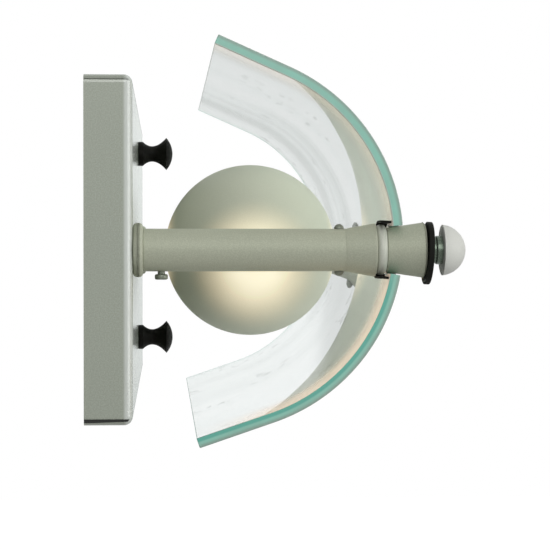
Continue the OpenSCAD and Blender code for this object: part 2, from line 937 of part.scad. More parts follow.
// Nut that holds the post inside the pan
module post_nut() {
    nut_end = pan_depth - pan_wall;
    color([0.75, 0.76, 0.77])
        on_pan(0, lamp_height)
            hex_nut(nut_end - post_nut_height, post_nut_height, post_nut_diameter, nipple_radius + thread_gap);
}

// Hollow hub on the post between the two socket cups
module socket_hub() {
    color([0.66, 0.68, 0.61])
        difference() {
            on_lamp_axis(1)
                sleeve(-hub_half_length, hub_half_length, hub_radius, hub_radius - hub_wall);
            on_pan(0, lamp_height)
                translate([0, 0, post_end - hub_radius])
                    cylinder(h = hub_radius, r = post_radius + slip_gap);
        }
}

// Metal cup round a lamp holder, open towards the lamp, with a hole for the leads
module socket_cup(side) {
    color([0.66, 0.68, 0.61])
        on_lamp_axis(side)
            difference() {
                translate([0, 0, cup_start])
                    cylinder(h = cup_length, r = cup_radius);
                translate([0, 0, cup_start + cup_wall])
                    cylinder(h = cup_length, r = cup_radius - cup_wall);
                translate([0, 0, cup_start - over])
                    cylinder(h = cup_wall + 2 * over, r = post_bore);
            }
}

module socket_cup_left() {
    socket_cup(-1);
}

module socket_cup_right() {
    socket_cup(1);
}

// Insulating lamp holder with a round bore for the screw shell
module lamp_holder(side) {
    color([0.88, 0.87, 0.83])
        on_lamp_axis(side)
            difference() {
                translate([0, 0, holder_start])
                    cylinder(h = holder_end - holder_start, r = holder_radius);
                translate([0, 0, shell_floor])
                    cylinder(h = holder_end - shell_floor + over, r = holder_bore);
            }
}

module lamp_holder_left() {
    lamp_holder(-1);
}

module lamp_holder_right() {
    lamp_holder(1);
}

// Brass screw shell that grips the lamp's cap
module screw_shell(side) {
    color([0.78, 0.66, 0.36])
        on_lamp_axis(side)
            sleeve(shell_floor, holder_end - shell_wall, shell_radius, shell_radius - shell_wall);
}

module screw_shell_left() {
    screw_shell(-1);
}

module screw_shell_right() {
    screw_shell(1);
}

// Brass contact in the middle of the holder's floor
module centre_contact(side) {
    color([0.80, 0.68, 0.38])
        on_lamp_axis(side)
            translate([0, 0, shell_floor]) {
                cylinder(h = contact_base_height, r = contact_base_radius);
                translate([0, 0, contact_base_height - eps])
                    cylinder(h = contact_height - contact_base_height + eps, r = contact_radius);
            }
}

module centre_contact_left() {
    centre_contact(-1);
}

module centre_contact_right() {
    centre_contact(1);
}

// Radius of the lamp's glass between the cap and the place where the globe takes over
function neck_curve(z) = cap_radius + (globe_join_radius - cap_radius)
    * pow((z - cap_end) / (globe_join - cap_end), neck_power);

// Solid of the lamp's glass, drawn in by a wall
module bulb_solid(wall) {
    steps = 16;
    neck = concat(
        [[0, cap_end]],
        [for (i = [0 : steps])
            [neck_curve(cap_end + (globe_join - cap_end) * i / steps) - wall,
             cap_end + (globe_join - cap_end) * i / steps]],
        [[0, globe_join]]);
    union() {
        rotate_extrude()
            polygon(neck);
        intersection() {
            translate([0, 0, globe_centre])
                sphere(r = globe_radius - wall);
            translate([0, 0, globe_join - eps])
                cylinder(h = 2 * globe_radius, r = globe_radius + over);
        }
    }
}

// Frosted glass globe with its neck
module bulb_globe(side) {
    color([0.86, 0.87, 0.80, 0.9])
        on_lamp_axis(side)
            difference() {
                bulb_solid(0);
                bulb_solid(bulb_wall);
                translate([0, 0, cap_end - over])
                    cylinder(h = 2 * over, r = cap_radius - bulb_wall);
            }
}

module bulb_globe_left() {
    bulb_globe(-1);
}

module bulb_globe_right() {
    bulb_globe(1);
}

// Screw cap of a lamp with its contact tip
module bulb_cap(side) {
    shoulder = 3;
    color([0.80, 0.79, 0.74])
        on_lamp_axis(side) {
            translate([0, 0, lamp_start])
                cylinder(h = cap_start - lamp_start + eps, r1 = contact_radius, r2 = contact_base_radius);
            translate([0, 0, cap_start])
                cylinder(h = shoulder, r1 = contact_base_radius, r2 = cap_radius);
            translate([0, 0, cap_start + shoulder - eps])
                cylinder(h = cap_length - shoulder + eps, r = cap_radius);
        }
}

module bulb_cap_left() {
    bulb_cap(-1);
}

module bulb_cap_right() {
    bulb_cap(1);
}

// Glass stem of a lamp with two supports and the filament across them
module filament_stem(side) {
    support_top = globe_centre - filament_setback;
    color([0.75, 0.75, 0.70])
        on_lamp_axis(side) {
            translate([0, 0, cap_end])
                cylinder(h = stem_length, r1 = stem_foot_radius, r2 = stem_top_radius);
            for (sx = [-1, 1])
                translate([sx * filament_half_width, 0, 0])
                    translate([0, 0, support_top - support_length])
                        cylinder(h = support_length, r = support_radius, $fn = 24);
            translate([-filament_half_width - support_radius, 0, support_top - support_length])
                rotate([0, 90, 0])
                    cylinder(h = 2 * filament_half_width + 2 * support_radius, r = 2 * support_radius, $fn = 24);
            translate([0, 0, cap_end + stem_length - eps])
                cylinder(h = support_top - support_length - cap_end - stem_length + eps,
                         r = stem_neck_radius);
            translate([-filament_half_width, 0, support_top])
                rotate([0, 90, 0])
                    cylinder(h = 2 * filament_half_width, r = filament_radius, $fn = 24);
        }
}

module filament_stem_left() {
    filament_stem(-1);
}

module filament_stem_right() {
    filament_stem(1);
}

function unit(v) = v / norm(v);

// Points of a route with each inner corner rounded by a quadratic curve that starts a cut away from it
function rounded_route(points, cut, steps) = concat(
    [points[0]],
    [for (i = [1 : len(points) - 2])
        let (corner = points[i],
             before = corner + unit(points[i - 1] - corner) * cut,
             after = corner + unit(points[i + 1] - corner) * cut)
        for (j = [0 : steps])
            let (t = j / steps)
            (1 - t) * (1 - t) * before + 2 * t * (1 - t) * corner + t * t * after],
    [points[len(points) - 1]]);

// Tangent of a route at one of its points
function route_tangent(route, i) = unit(route[min(i + 1, len(route) - 1)] - route[max(i - 1, 0)]);

// Round tube along a route, as one closed mesh with flat ends
module lead_tube(route, radius, up) {
    sides = 8;
    count = len(route);
    points = [for (i = [0 : count - 1])
        let (along = route_tangent(route, i),
             across = unit(cross(along, up)),
             over = cross(across, along))
        for (k = [0 : sides - 1])
            route[i] + radius * (cos(360 * k / sides) * across + sin(360 * k / sides) * over)];
    walls = [for (i = [0 : count - 2], k = [0 : sides - 1], half = [0, 1])
        let (a = i * sides + k,
             b = i * sides + (k + 1) % sides)
        half == 0 ? [a, b, b + sides] : [a, b + sides, a + sides]];
    first_cap = [for (k = [1 : sides - 2]) [0, k + 1, k]];
    base = (count - 1) * sides;
    last_cap = [for (k = [1 : sides - 2]) [base, base + k, base + k + 1]];
    polyhedron(points = points, faces = concat(walls, first_cap, last_cap));
}

// Two leads of one colour, from both lamp holders down the post to their wire connector
module lead_pair(sign) {
    height = lamp_height + sign * lead_offset;
    for (side = [-1, 1]) {
        step = lead_radius + lead_spacing / 2;
        level = side == sign ? connector_distance + step : connector_distance - step;
        lead_tube(
            rounded_route([
                [side * holder_start, -lamp_distance, height],
                [side * lead_offset, -lamp_distance, height],
                [side * lead_offset, -level, height],
                [sign * connector_x, -level, height]],
                lead_bend, lead_steps),
            lead_radius, [0, 0, 1]);
    }
}

// Live leads of both lamp holders
module live_leads() {
    color([0.10, 0.10, 0.10])
        lead_pair(1);
}

// Neutral leads of both lamp holders
module neutral_leads() {
    color([0.90, 0.90, 0.88])
        lead_pair(-1);
}

// Earth lead from the screw in the crossbar to its connector
module earth_lead() {
    low = crossbar_thickness + lead_radius;
    color([0.25, 0.55, 0.30])
        lead_tube(
            rounded_route([
                [stud_radius + seat_gap, -low, earth_screw_height],
                [earth_bend_x[0], -low, earth_screw_height],
                [earth_bend_x[1], -connector_distance, earth_connector_height],
                [connector_x, -connector_distance, earth_connector_height]],
                lead_bend, lead_steps),
            lead_radius, [0, 0, 1]);
}

// Tapered wire connectors at the ends of the leads
module wire_connectors() {
    seats = [[1, lamp_height + lead_offset], [-1, lamp_height - lead_offset], [1, earth_connector_height]];
    color([0.85, 0.45, 0.15])
        for (seat = seats)
            translate([seat[0] * connector_x, -connector_distance, seat[1]])
                rotate([0, seat[0] * 90, 0])
                    cylinder(h = connector_length, r1 = connector_radius, r2 = connector_taper * connector_radius);
}

back_pan();
mounting_crossbar();
mounting_studs();
stud_nuts();
earth_screw();
mounting_knob_upper();
mounting_knob_lower();
arm_flange_left();
arm_flange_right();
arm_tube_left();
arm_tube_right();
arm_rod_left();
arm_rod_right();
rod_nuts();
rod_washers();
thumb_screw_left();
thumb_screw_right();
flared_collar_left();
flared_collar_right();
collar_screws();
clamp_ring_left();
clamp_ring_right();
rubber_saddle_left();
rubber_saddle_right();
glass_shade();
clamp_cone_left();
clamp_cone_right();
rubber_washer_left();
rubber_washer_right();
finial_neck_left();
finial_neck_right();
finial_dome_left();
finial_dome_right();
post_flange();
centre_post();
post_nut();
socket_hub();
socket_cup_left();
socket_cup_right();
lamp_holder_left();
lamp_holder_right();
screw_shell_left();
screw_shell_right();
centre_contact_left();
centre_contact_right();
bulb_globe_left();
bulb_globe_right();
bulb_cap_left();
bulb_cap_right();
filament_stem_left();
filament_stem_right();
live_leads();
neutral_leads();
earth_lead();
wire_connectors();
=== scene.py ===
"""Half cylinder wall sconce: a slim box pan, two straight arms that clamp a bent clear glass, and two globes.

The wall is the plane y = 0, the light stands out towards -y, z is up and x runs along the glass. Everything
is in metres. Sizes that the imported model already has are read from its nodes' boxes, so that each new piece
stays where its node is. The camera looks along the glass from its left end, as the photograph does.
"""

import json
import logging
import math
from collections.abc import Callable
from dataclasses import dataclass, field
from enum import Enum

import bpy
import numpy as np
from mathutils import Matrix, Vector

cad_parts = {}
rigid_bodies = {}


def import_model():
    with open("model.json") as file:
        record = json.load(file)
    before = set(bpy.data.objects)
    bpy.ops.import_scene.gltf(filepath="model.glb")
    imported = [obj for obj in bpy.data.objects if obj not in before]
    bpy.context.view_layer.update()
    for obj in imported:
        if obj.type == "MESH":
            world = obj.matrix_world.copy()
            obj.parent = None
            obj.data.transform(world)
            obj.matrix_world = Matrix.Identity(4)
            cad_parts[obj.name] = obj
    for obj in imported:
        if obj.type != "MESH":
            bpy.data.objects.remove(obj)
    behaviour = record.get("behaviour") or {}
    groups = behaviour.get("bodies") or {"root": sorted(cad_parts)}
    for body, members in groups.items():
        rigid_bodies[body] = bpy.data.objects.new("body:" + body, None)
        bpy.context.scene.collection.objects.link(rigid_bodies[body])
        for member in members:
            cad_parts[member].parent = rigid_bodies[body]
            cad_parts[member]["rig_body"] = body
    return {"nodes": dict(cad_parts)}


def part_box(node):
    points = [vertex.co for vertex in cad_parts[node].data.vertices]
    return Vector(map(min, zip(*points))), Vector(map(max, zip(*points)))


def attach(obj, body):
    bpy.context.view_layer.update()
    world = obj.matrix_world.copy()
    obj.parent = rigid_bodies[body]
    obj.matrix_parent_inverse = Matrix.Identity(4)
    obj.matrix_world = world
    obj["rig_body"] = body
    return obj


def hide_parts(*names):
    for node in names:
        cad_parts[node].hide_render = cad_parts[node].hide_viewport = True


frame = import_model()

MM = 0.001
PHOTO_SIDE = 550
# Points on a rounded corner, and how many cuts from the corner the straight pieces' own points stand.
CURVE_POINTS = 5
HOLD = 1.35
SHARP = math.radians(38.0)
# Grid on which points count as one, and the length below which a row has no direction.
WELD = 1e-7
TINY = 1e-12
# Roundings of bores and of corners that stay sharp.
BORE_EDGE = 0.1 * MM
CORNER = 0.05 * MM
LOG = logging.getLogger("sconce")
Colour = tuple[float, float, float]
Span = tuple[float, float]
Noise = tuple[float, float, Colour]
WHITE: Colour = (1.0, 1.0, 1.0)
BLACK: Colour = (0.0, 0.0, 0.0)


def srgb(red: int, green: int, blue: int) -> Colour:
    """Linear colour of a colour written as 0 to 255: the usual curve with a straight foot.

    Args:
        red: Red share.
        green: Green share.
        blue: Blue share.

    Returns:
        The linear colour.
    """
    c = np.array([red, green, blue]) / 255
    linear = np.where(c <= 0.04045, c / 12.92, ((c + 0.055) / 1.055) ** 2.4)
    return tuple(float(v) for v in linear)


class Side(Enum):
    """End of the light, as the sign of x."""

    LEFT = -1
    RIGHT = 1

    @property
    def word(self) -> str:
        """Name of the side in the names of nodes and bodies."""
        return self.name.lower()

    @property
    def way(self) -> "Along":
        """Direction from the middle of the light to this end."""
        return Along[self.name]


# Shader graphs


def operator(operation: str, flipped: bool = False) -> "Callable[[Wire, float | Wire], Wire]":
    """A method of Wire that adds a Math node. If flipped, the wire comes last."""
    return lambda wire, other: wire.math(operation, other, flipped=flipped)


class Wire:
    """A socket in a shader graph. Python's operators on it add Math nodes."""

    def __init__(self, graph: "Graph", socket: bpy.types.NodeSocket) -> None:
        """Keeps an output socket and its graph."""
        self.graph = graph
        self.socket = socket

    def math(self, operation: str, *others: "float | Wire", flipped: bool = False) -> "Wire":
        """Adds a Math node on this value and the others. If flipped, this value comes last."""
        inputs = [*others, self] if flipped else [self, *others]
        return self.graph.node("ShaderNodeMath", dict(enumerate(inputs)), operation=operation)

    __add__ = __radd__ = operator("ADD")
    __sub__ = operator("SUBTRACT")
    __rsub__ = operator("SUBTRACT", flipped=True)
    __mul__ = __rmul__ = operator("MULTIPLY")
    __truediv__ = operator("DIVIDE")
    __pow__ = operator("POWER")
    __lt__ = operator("LESS_THAN")
    __gt__ = operator("GREATER_THAN")
    most = operator("MAXIMUM")

    def __abs__(self) -> "Wire":
        """Value without its sign."""
        return self.math("ABSOLUTE")

    def ramp(self, low: float, high: float, start: float = 0.0, end: float = 1.0) -> "Wire":
        """Smooth step over this value, from start at low to end at high."""
        values = {"Value": self, "From Min": low, "From Max": high, "To Min": start, "To Max": end}
        return self.graph.node("ShaderNodeMapRange", values, interpolation_type="SMOOTHSTEP")

    def fall(self, low: "float | Wire", high: "float | Wire") -> "Wire":
        """Smooth step down from 1 at low to 0 at high."""
        return self.ramp(low, high, 1.0, 0.0)


class Graph:
    """The node graph of one material or of the world."""

    def __init__(self, owner: "bpy.types.Material | bpy.types.World") -> None:
        """Empties the owner's graph.

        Args:
            owner: A material or the world.
        """
        owner.use_nodes = True
        self.tree = owner.node_tree
        self.tree.nodes.clear()

    def node(self, kind: str, inputs: dict | None = None, out: int | str = 0, **settings: str) -> Wire:
        """Adds a node.

        Args:
            kind: The node's type.
            inputs: Values or wires by the socket's name or number.
            out: Name or number of the output.
            settings: The node's properties, set before its sockets.

        Returns:
            That output.
        """
        made = self.tree.nodes.new(kind)
        for key, value in settings.items():
            setattr(made, key, value)
        for key, value in (inputs or {}).items():
            if isinstance(value, Wire):
                self.tree.links.new(value.socket, made.inputs[key])
            else:
                made.inputs[key].default_value = value
        return Wire(self, made.outputs[out] if made.outputs else None)

    def vector(self, operation: str, *inputs: "Colour | Wire", out: int | str = 0) -> Wire:
        """Adds a Vector Math node."""
        return self.node("ShaderNodeVectorMath", dict(enumerate(inputs)), out, operation=operation)

    def place(self, scale: Colour = (1.0, 1.0, 1.0), origin: Colour = (0.0, 0.0, 0.0)) -> Wire:
        """Object coordinates in metres, less the origin and times the scale."""
        coordinates = self.node("ShaderNodeTexCoord", out="Object")
        return self.vector("MULTIPLY", self.vector("SUBTRACT", coordinates, origin), scale)

    def axes(self, vector: Wire | None = None) -> list[Wire]:
        """The x, y and z parts of a vector, or else of the object coordinates in metres."""
        parts = self.node("ShaderNodeSeparateXYZ", {0: vector or self.place()})
        return [Wire(self, socket) for socket in parts.socket.node.outputs]

    def noise(self, scale: float, detail: float = 2.0, stretch: Colour = (1.0, 1.0, 1.0)) -> Wire:
        """Noise from 0 to 1, with scale waves per metre and detail finer octaves."""
        values = {"Vector": self.place(stretch), "Scale": scale, "Detail": detail}
        return self.node("ShaderNodeTexNoise", values)

    def mix(self, factor: "float | Wire", first: "Colour | Wire", second: "Colour | Wire") -> Wire:
        """Colour that is first at factor 0 and second at factor 1."""
        pair = {6 + i: c if isinstance(c, Wire) else (*c, 1.0) for i, c in enumerate((first, second))}
        return self.node("ShaderNodeMix", {0: factor, **pair}, 2, data_type="RGBA")

    def blend(self, share: Wire, first: Wire, second: Wire) -> Wire:
        """Shader that is first at share 0 and second at share 1."""
        return self.node("ShaderNodeMixShader", {0: share, 1: first, 2: second})

    def bump(self, height: Wire, depth: float, strength: float = 1.0) -> Wire:
        """Normal of a surface whose relief is the height, from 0 to 1, times the depth."""
        return self.node("ShaderNodeBump", {"Height": height, "Distance": depth, "Strength": strength})

    def output(self, surface: Wire, volume: Wire | None = None) -> None:
        """Ends the graph with a material output."""
        links = {"Surface": surface} if volume is None else {"Surface": surface, "Volume": volume}
        self.node("ShaderNodeOutputMaterial", links)


@dataclass(frozen=True)
class Finish:
    """A satin surface with a fine speckle, the basis of the other finishes."""

    name: str
    colour: Colour
    fleck: Colour
    roughness: float = 0.5
    metallic: float = 0.0
    grain: float = 2600.0
    relief: float = 0.03 * MM
    unevenness: float = 0.08
    specular: float = 0.5
    coat: float = 0.0
    coat_roughness: float = 0.1
    fleck_steps: Span = (0.38, 0.66)
    rough_steps: Span = (0.3, 0.7)
    cloud_size: float = 90.0
    cloud_share: float = 0.25

    def surface(self, graph: Graph) -> dict:
        """Sockets of the Principled shader.

        Args:
            graph: The material's graph.

        Returns:
            Values and wires by socket name.
        """
        speckle = graph.noise(self.grain, 3.0)
        cloud = graph.noise(self.grain / self.cloud_size)
        mask = speckle.ramp(*self.fleck_steps) * (1.0 - self.cloud_share) + cloud * self.cloud_share
        smooth, rough = self.roughness - self.unevenness, self.roughness + self.unevenness
        return {
            "Base Color": graph.mix(mask, self.colour, self.fleck),
            "Roughness": speckle.ramp(*self.rough_steps, smooth, rough),
            "Metallic": self.metallic,
            "Specular IOR Level": self.specular,
            "Coat Weight": self.coat,
            "Coat Roughness": self.coat_roughness,
            "Normal": graph.bump(speckle, self.relief),
        }

    def fill(self, graph: Graph) -> None:
        """Fills the material's graph with one Principled shader."""
        graph.output(graph.node("ShaderNodeBsdfPrincipled", self.surface(graph)))

    def material(self) -> bpy.types.Material:
        """The finish as a material, made once.

        Returns:
            The material.
        """
        made = bpy.data.materials.get(self.name + "_finish")
        if made is None:
            made = bpy.data.materials.new(self.name + "_finish")
            self.fill(Graph(made))
        return made


@dataclass(frozen=True)
class PanFinish(Finish):
    """Speckled lacquer of the pan, with a painted highlight on its round edges and painted shade in its
    folded seams and along its pressed line. The flap above the upper seam is darker.
    """

    # Colour of the painted shade in the seams and along the pressed line; it also darkens the flap.
    dark: Colour = (0.012, 0.013, 0.011)
    # Colour of the painted highlight on the round edges.
    pale: Colour = (0.54, 0.57, 0.53)
    end_face: float = 190.0 * MM
    end_depth: float = 1.0 * MM
    seam_edge: Span = (189.8 * MM, 189.9 * MM)
    upper_seam: Span = (75.35 * MM, 0.25 * MM)
    lower_seam: Span = (-75.35 * MM, 0.5 * MM)
    seam_taper: float = 0.030
    seam_share: float = 0.62
    flap_share: float = 0.22
    line_x: Span = (186.0 * MM, 0.2 * MM)
    line_z: Span = (73.75 * MM, 0.2 * MM)
    line_share: float = 0.75
    front: float = -20.0 * MM
    pale_band: Span = (-18.6 * MM, -17.0 * MM)
    pale_depth: float = 0.5 * MM
    softness: Span = (1.02, 1.2)
    round_edge: Span = (-0.38, 0.0)
    flat_front: Span = (-1.0, -0.86)

    def window(self, value: Wire, centre: float, half: "float | Wire") -> Wire:
        """1 where the value is within half of the centre, falling to 0 just outside."""
        inner, outer = self.softness
        return abs(value - centre).fall(half * inner, half * outer)

    def surface(self, graph: Graph) -> dict:
        """Adds painted shade in the folded seams and along the pressed line, a darker flap above the upper
        seam, and a painted highlight on the round edges, to the speckled surface.

        Args:
            graph: The material's graph.

        Returns:
            Values and wires by socket name.
        """
        sockets = super().surface(graph)
        x, y, z = graph.axes()
        x, level = abs(x), abs(z)
        at_end = x > self.end_face - self.end_depth
        gape = self.lower_seam[1] + (y - self.front) * self.seam_taper
        # Painted shade in the folded seams at the ends; the lower seam's painted shade widens towards the
        # wall.
        seam = self.window(z, *self.upper_seam) * self.seam_share
        seam = seam.most(self.window(z, self.lower_seam[0], gape)) * x.fall(*self.seam_edge) * at_end
        # The flap above the upper seam is made darker.
        flap = (z > self.upper_seam[0]) * at_end * self.flap_share
        # Painted shade along the pressed line round the front face.
        line = self.window(x, *self.line_x).most(self.window(level, *self.line_z))
        within = (y < self.front) * (x < sum(self.line_x)) * (level < sum(self.line_z))
        mask = seam.most(line * within * self.line_share).most(flap)
        facing = graph.axes(graph.node("ShaderNodeNewGeometry", out="Normal"))[1]
        # Painted highlight: a paler band on the end faces beside the round front edge, and on the round edges
        # where they turn from an end towards the front.
        highlight_strip = y.fall(*self.pale_band) * (x > self.end_face - self.pale_depth)
        edge = facing.fall(*self.round_edge).most(highlight_strip) * facing.ramp(*self.flat_front)
        # The base colour is mixed towards the painted highlight here.
        lacquer = graph.mix(edge, sockets["Base Color"], self.pale)
        sockets["Base Color"] = graph.mix(mask, lacquer, self.dark)
        sockets["Coat Weight"] = (1.0 - mask) * self.coat
        return sockets


@dataclass(frozen=True)
class TurnedMetal(Finish):
    """Metal turned on a lathe: faint rings round the axis that runs out from the wall."""

    metallic: float = 0.1
    grain: float = 2200.0
    relief: float = 0.01 * MM
    rings: Colour = (1.0, 60.0, 1.0)
    ring_scale: float = 40.0
    ring_depth: float = 0.01 * MM
    ring_share: float = 0.4

    def surface(self, graph: Graph) -> dict:
        """Adds the rings' relief to the speckled surface.

        Args:
            graph: The material's graph.

        Returns:
            Values and wires by socket name.
        """
        sockets = super().surface(graph)
        rings = graph.noise(self.ring_scale, stretch=self.rings)
        relief = graph.noise(self.grain) * (1.0 - self.ring_share) + rings * self.ring_share
        sockets["Normal"] = graph.bump(relief, self.relief + self.ring_depth)
        return sockets


@dataclass(frozen=True)
class FrostedGlow(Finish):
    """Frosted glass of a lamp: grey, with a warm glow round its crown and on its two flanks."""

    glow: Colour = (1.0, 0.90, 0.66)
    rim_glow: Colour = (0.9, 0.66, 0.38)
    strength: float = 0.78
    glow_centre: Colour = (0.0, -78.0 * MM, -7.2 * MM)
    glow_reach: Span = (6.0 * MM, 33.0 * MM)
    crown_reach: Span = (98.0 * MM, 140.0 * MM)
    globe_place: float = 106.7 * MM
    flank_radius: float = 22.0 * MM

    def surface(self, graph: Graph) -> dict:
        """Glow as smooth steps of the distance from a line through the crowns and from the flanks.

        Args:
            graph: The material's graph.

        Returns:
            Values and wires by socket name.
        """
        sockets = super().surface(graph)
        across = graph.vector("LENGTH", graph.place((0.0, 1.0, 1.0), self.glow_centre), out="Value")
        x, _, height = graph.axes()
        crown = across.fall(*self.glow_reach) * abs(x).ramp(*self.crown_reach)
        beside = abs(x) - self.globe_place
        flank = ((beside * beside + height * height) ** 0.5).fall(0.0, self.flank_radius)
        heart = crown.most(flank)
        tint = graph.mix(heart, self.rim_glow, self.glow)
        sockets["Emission Color"] = graph.mix(heart, BLACK, tint)
        sockets["Emission Strength"] = self.strength
        return sockets


@dataclass(frozen=True)
class ClearGlass(Finish):
    """Clear float glass: hardly any colour on its faces, and green at its cut ends, where light leaves that
    has run the whole length of the glass."""

    depth: float = 4.0
    index: float = 1.52
    shade: Colour = (0.92, 0.95, 0.94)
    tint: Colour = (0.93, 0.96, 0.955)
    cut_share: float = 0.98
    inner_rim: Colour = (0.56, 0.62, 0.56)
    lower_rim: Colour = (0.16, 0.52, 0.42)
    outer_rim: Colour = (0.32, 0.46, 0.39)
    bend_axis: Colour = (0.0, -57.1 * MM, 0.0)
    haze: Colour = (0.50, 0.53, 0.52)
    streak_share: float = 0.15
    fleck_share: float = 0.18
    # Colour of the painted reflection of the lamps' warm light on the inner face near the left end; the next
    # fields place it.
    warm: Colour = (1.0, 0.80, 0.63)
    warm_share: Span = (0.62, 0.20)
    warm_reach: Span = (146.0 * MM, 186.0 * MM)
    warm_foot: Span = (-84.0 * MM, -68.0 * MM)
    warm_light: float = 0.40
    middle: Span = (-20.0 * MM, 20.0 * MM)
    lower_part: Span = (-20.0 * MM, 10.0 * MM)
    cut_steps: tuple[float, float, float, float] = (0.3, 0.7, 0.75, 1.0)
    cut_facing: Span = (0.66, 0.86)
    cut_cloud: Span = (90.0, 3.0)
    cut_roughness: float = 0.22
    cut_specular: float = 0.3
    inner_depth: Span = (0.80, 0.96)
    lower_depth: Span = (0.50, 0.72)
    outer_depth: Span = (0.10, 0.46)
    haze_above: Span = (0.25, 1.0)
    haze_streaks: Noise = (15.0, 3.0, (1.0, 0.12, 0.12))
    haze_streak_steps: Span = (0.44, 0.72)
    haze_flecks: Noise = (150.0, 3.0, (0.35, 1.0, 1.0))
    haze_fleck_steps: Span = (0.56, 0.66)
    haze_patches: Span = (16.0, 1.0)
    haze_patch_steps: Span = (0.50, 0.62)
    haze_roughness: float = 0.6
    inner_face: float = -0.8
    warm_roughness: float = 0.4
    tint_streaks: Noise = (34.0, 2.0, (1.0, 0.16, 0.16))
    tint_steps: Span = (0.35, 0.7)
    ripples: Noise = (38.0, 1.0, (0.35, 1.0, 1.0))
    ripple_depth: float = 0.04 * MM
    ripple_strength: float = 0.5

    def cut_end(self, graph: Graph) -> Wire:
        """Look of a polished cut: green in the middle and greyer outside. Inside it is pale above and deep
        green below.

        Args:
            graph: The material's graph.

        Returns:
            The shader.
        """
        depth = graph.node("ShaderNodeAttribute", out="Fac", attribute_name="glass_depth")
        lower = graph.axes()[2].fall(*self.lower_part)
        cloud = graph.noise(*self.cut_cloud).ramp(*self.cut_steps)
        inner = depth.ramp(*self.inner_depth).most(depth.ramp(*self.lower_depth) * lower)
        green = graph.mix(cloud, self.outer_rim, self.colour)
        green = graph.mix(depth.fall(*self.outer_depth), green, self.outer_rim)
        green = graph.mix(inner, green, graph.mix(lower, self.inner_rim, self.lower_rim))
        values = {"Base Color": green, "Roughness": self.cut_roughness, "IOR": self.index}
        values["Specular IOR Level"] = self.cut_specular
        return graph.node("ShaderNodeBsdfPrincipled", values)

    def hazed(self, graph: Graph, glass: Wire) -> Wire:
        """Lays a thin haze over the glass: soft streaks along the bend, mostly above, and small wiped flecks
        in patches. Near its left end the inner face also carries a painted reflection of the lamps' warm
        light, mostly below, which glows a little.

        Args:
            graph: The material's graph.
            glass: The clean glass.

        Returns:
            The shader.
        """
        x, _, height = graph.axes()
        upper = height.ramp(*self.middle, *self.haze_above)
        soft = graph.noise(*self.haze_streaks).ramp(*self.haze_streak_steps) * upper * self.streak_share
        flecks = graph.noise(*self.haze_flecks).ramp(*self.haze_fleck_steps)
        patches = graph.noise(*self.haze_patches).ramp(*self.haze_patch_steps)
        share = soft.most(flecks * patches * self.fleck_share)
        values = {"Base Color": (*self.haze, 1.0), "Roughness": self.haze_roughness}
        film = graph.node("ShaderNodeBsdfPrincipled", values)
        # Painted reflection of the lamps' warm light on the inner face near the left end, mostly below.
        painted_reflection_mask = (0.0 - x).ramp(*self.warm_reach) * height.ramp(*self.middle, *self.warm_share)
        painted_reflection_mask = painted_reflection_mask * height.ramp(*self.warm_foot) * (self.outwards(graph) < self.inner_face)
        # The painted reflection's colour, also given off as a faint glow.
        values = {"Base Color": (*self.warm, 1.0), "Emission Color": (*self.warm, 1.0)}
        values |= {"Emission Strength": self.warm_light, "Roughness": self.warm_roughness}
        warm = graph.node("ShaderNodeBsdfPrincipled", values)
        return graph.blend(painted_reflection_mask, graph.blend(share, glass, film), warm)

    def outwards(self, graph: Graph) -> Wire:
        """How much the surface faces away from the axis of the bend: 1 on the outer face, -1 on the inner one
        and 0 on every cut. It is the normal's dot product with the unit vector away from the axis.

        Args:
            graph: The material's graph.

        Returns:
            The measure.
        """
        normal = graph.node("ShaderNodeNewGeometry", out="Normal")
        radial = graph.vector("NORMALIZE", graph.place((0.0, 1.0, 1.0), self.bend_axis))
        return graph.vector("DOT_PRODUCT", normal, radial, out="Value")

    def fill(self, graph: Graph) -> None:
        """Smooth refraction with a green volume, a green cut, and clear to shadow rays.

        Args:
            graph: The material's graph.
        """
        streak = graph.noise(*self.tint_streaks).ramp(*self.tint_steps)
        ripple = graph.noise(*self.ripples)
        values = {
            "Base Color": graph.mix(streak, WHITE, self.tint),
            "Transmission Weight": 1.0,
            "Roughness": 0.0,
            "IOR": self.index,
            "Normal": graph.bump(ripple, self.ripple_depth, self.ripple_strength),
        }
        glass = self.hazed(graph, graph.node("ShaderNodeBsdfPrincipled", values))
        cut = abs(self.outwards(graph)).fall(*self.cut_facing) * self.cut_share
        glass = graph.blend(cut, glass, self.cut_end(graph))
        green = {"Color": (*self.fleck, 1.0), "Density": self.depth}
        absorb = graph.node("ShaderNodeVolumeAbsorption", green)
        clear = graph.node("ShaderNodeBsdfTransparent", {"Color": (*self.shade, 1.0)})
        shadow = graph.node("ShaderNodeLightPath", out="Is Shadow Ray")
        graph.output(graph.blend(shadow, glass, clear), absorb)


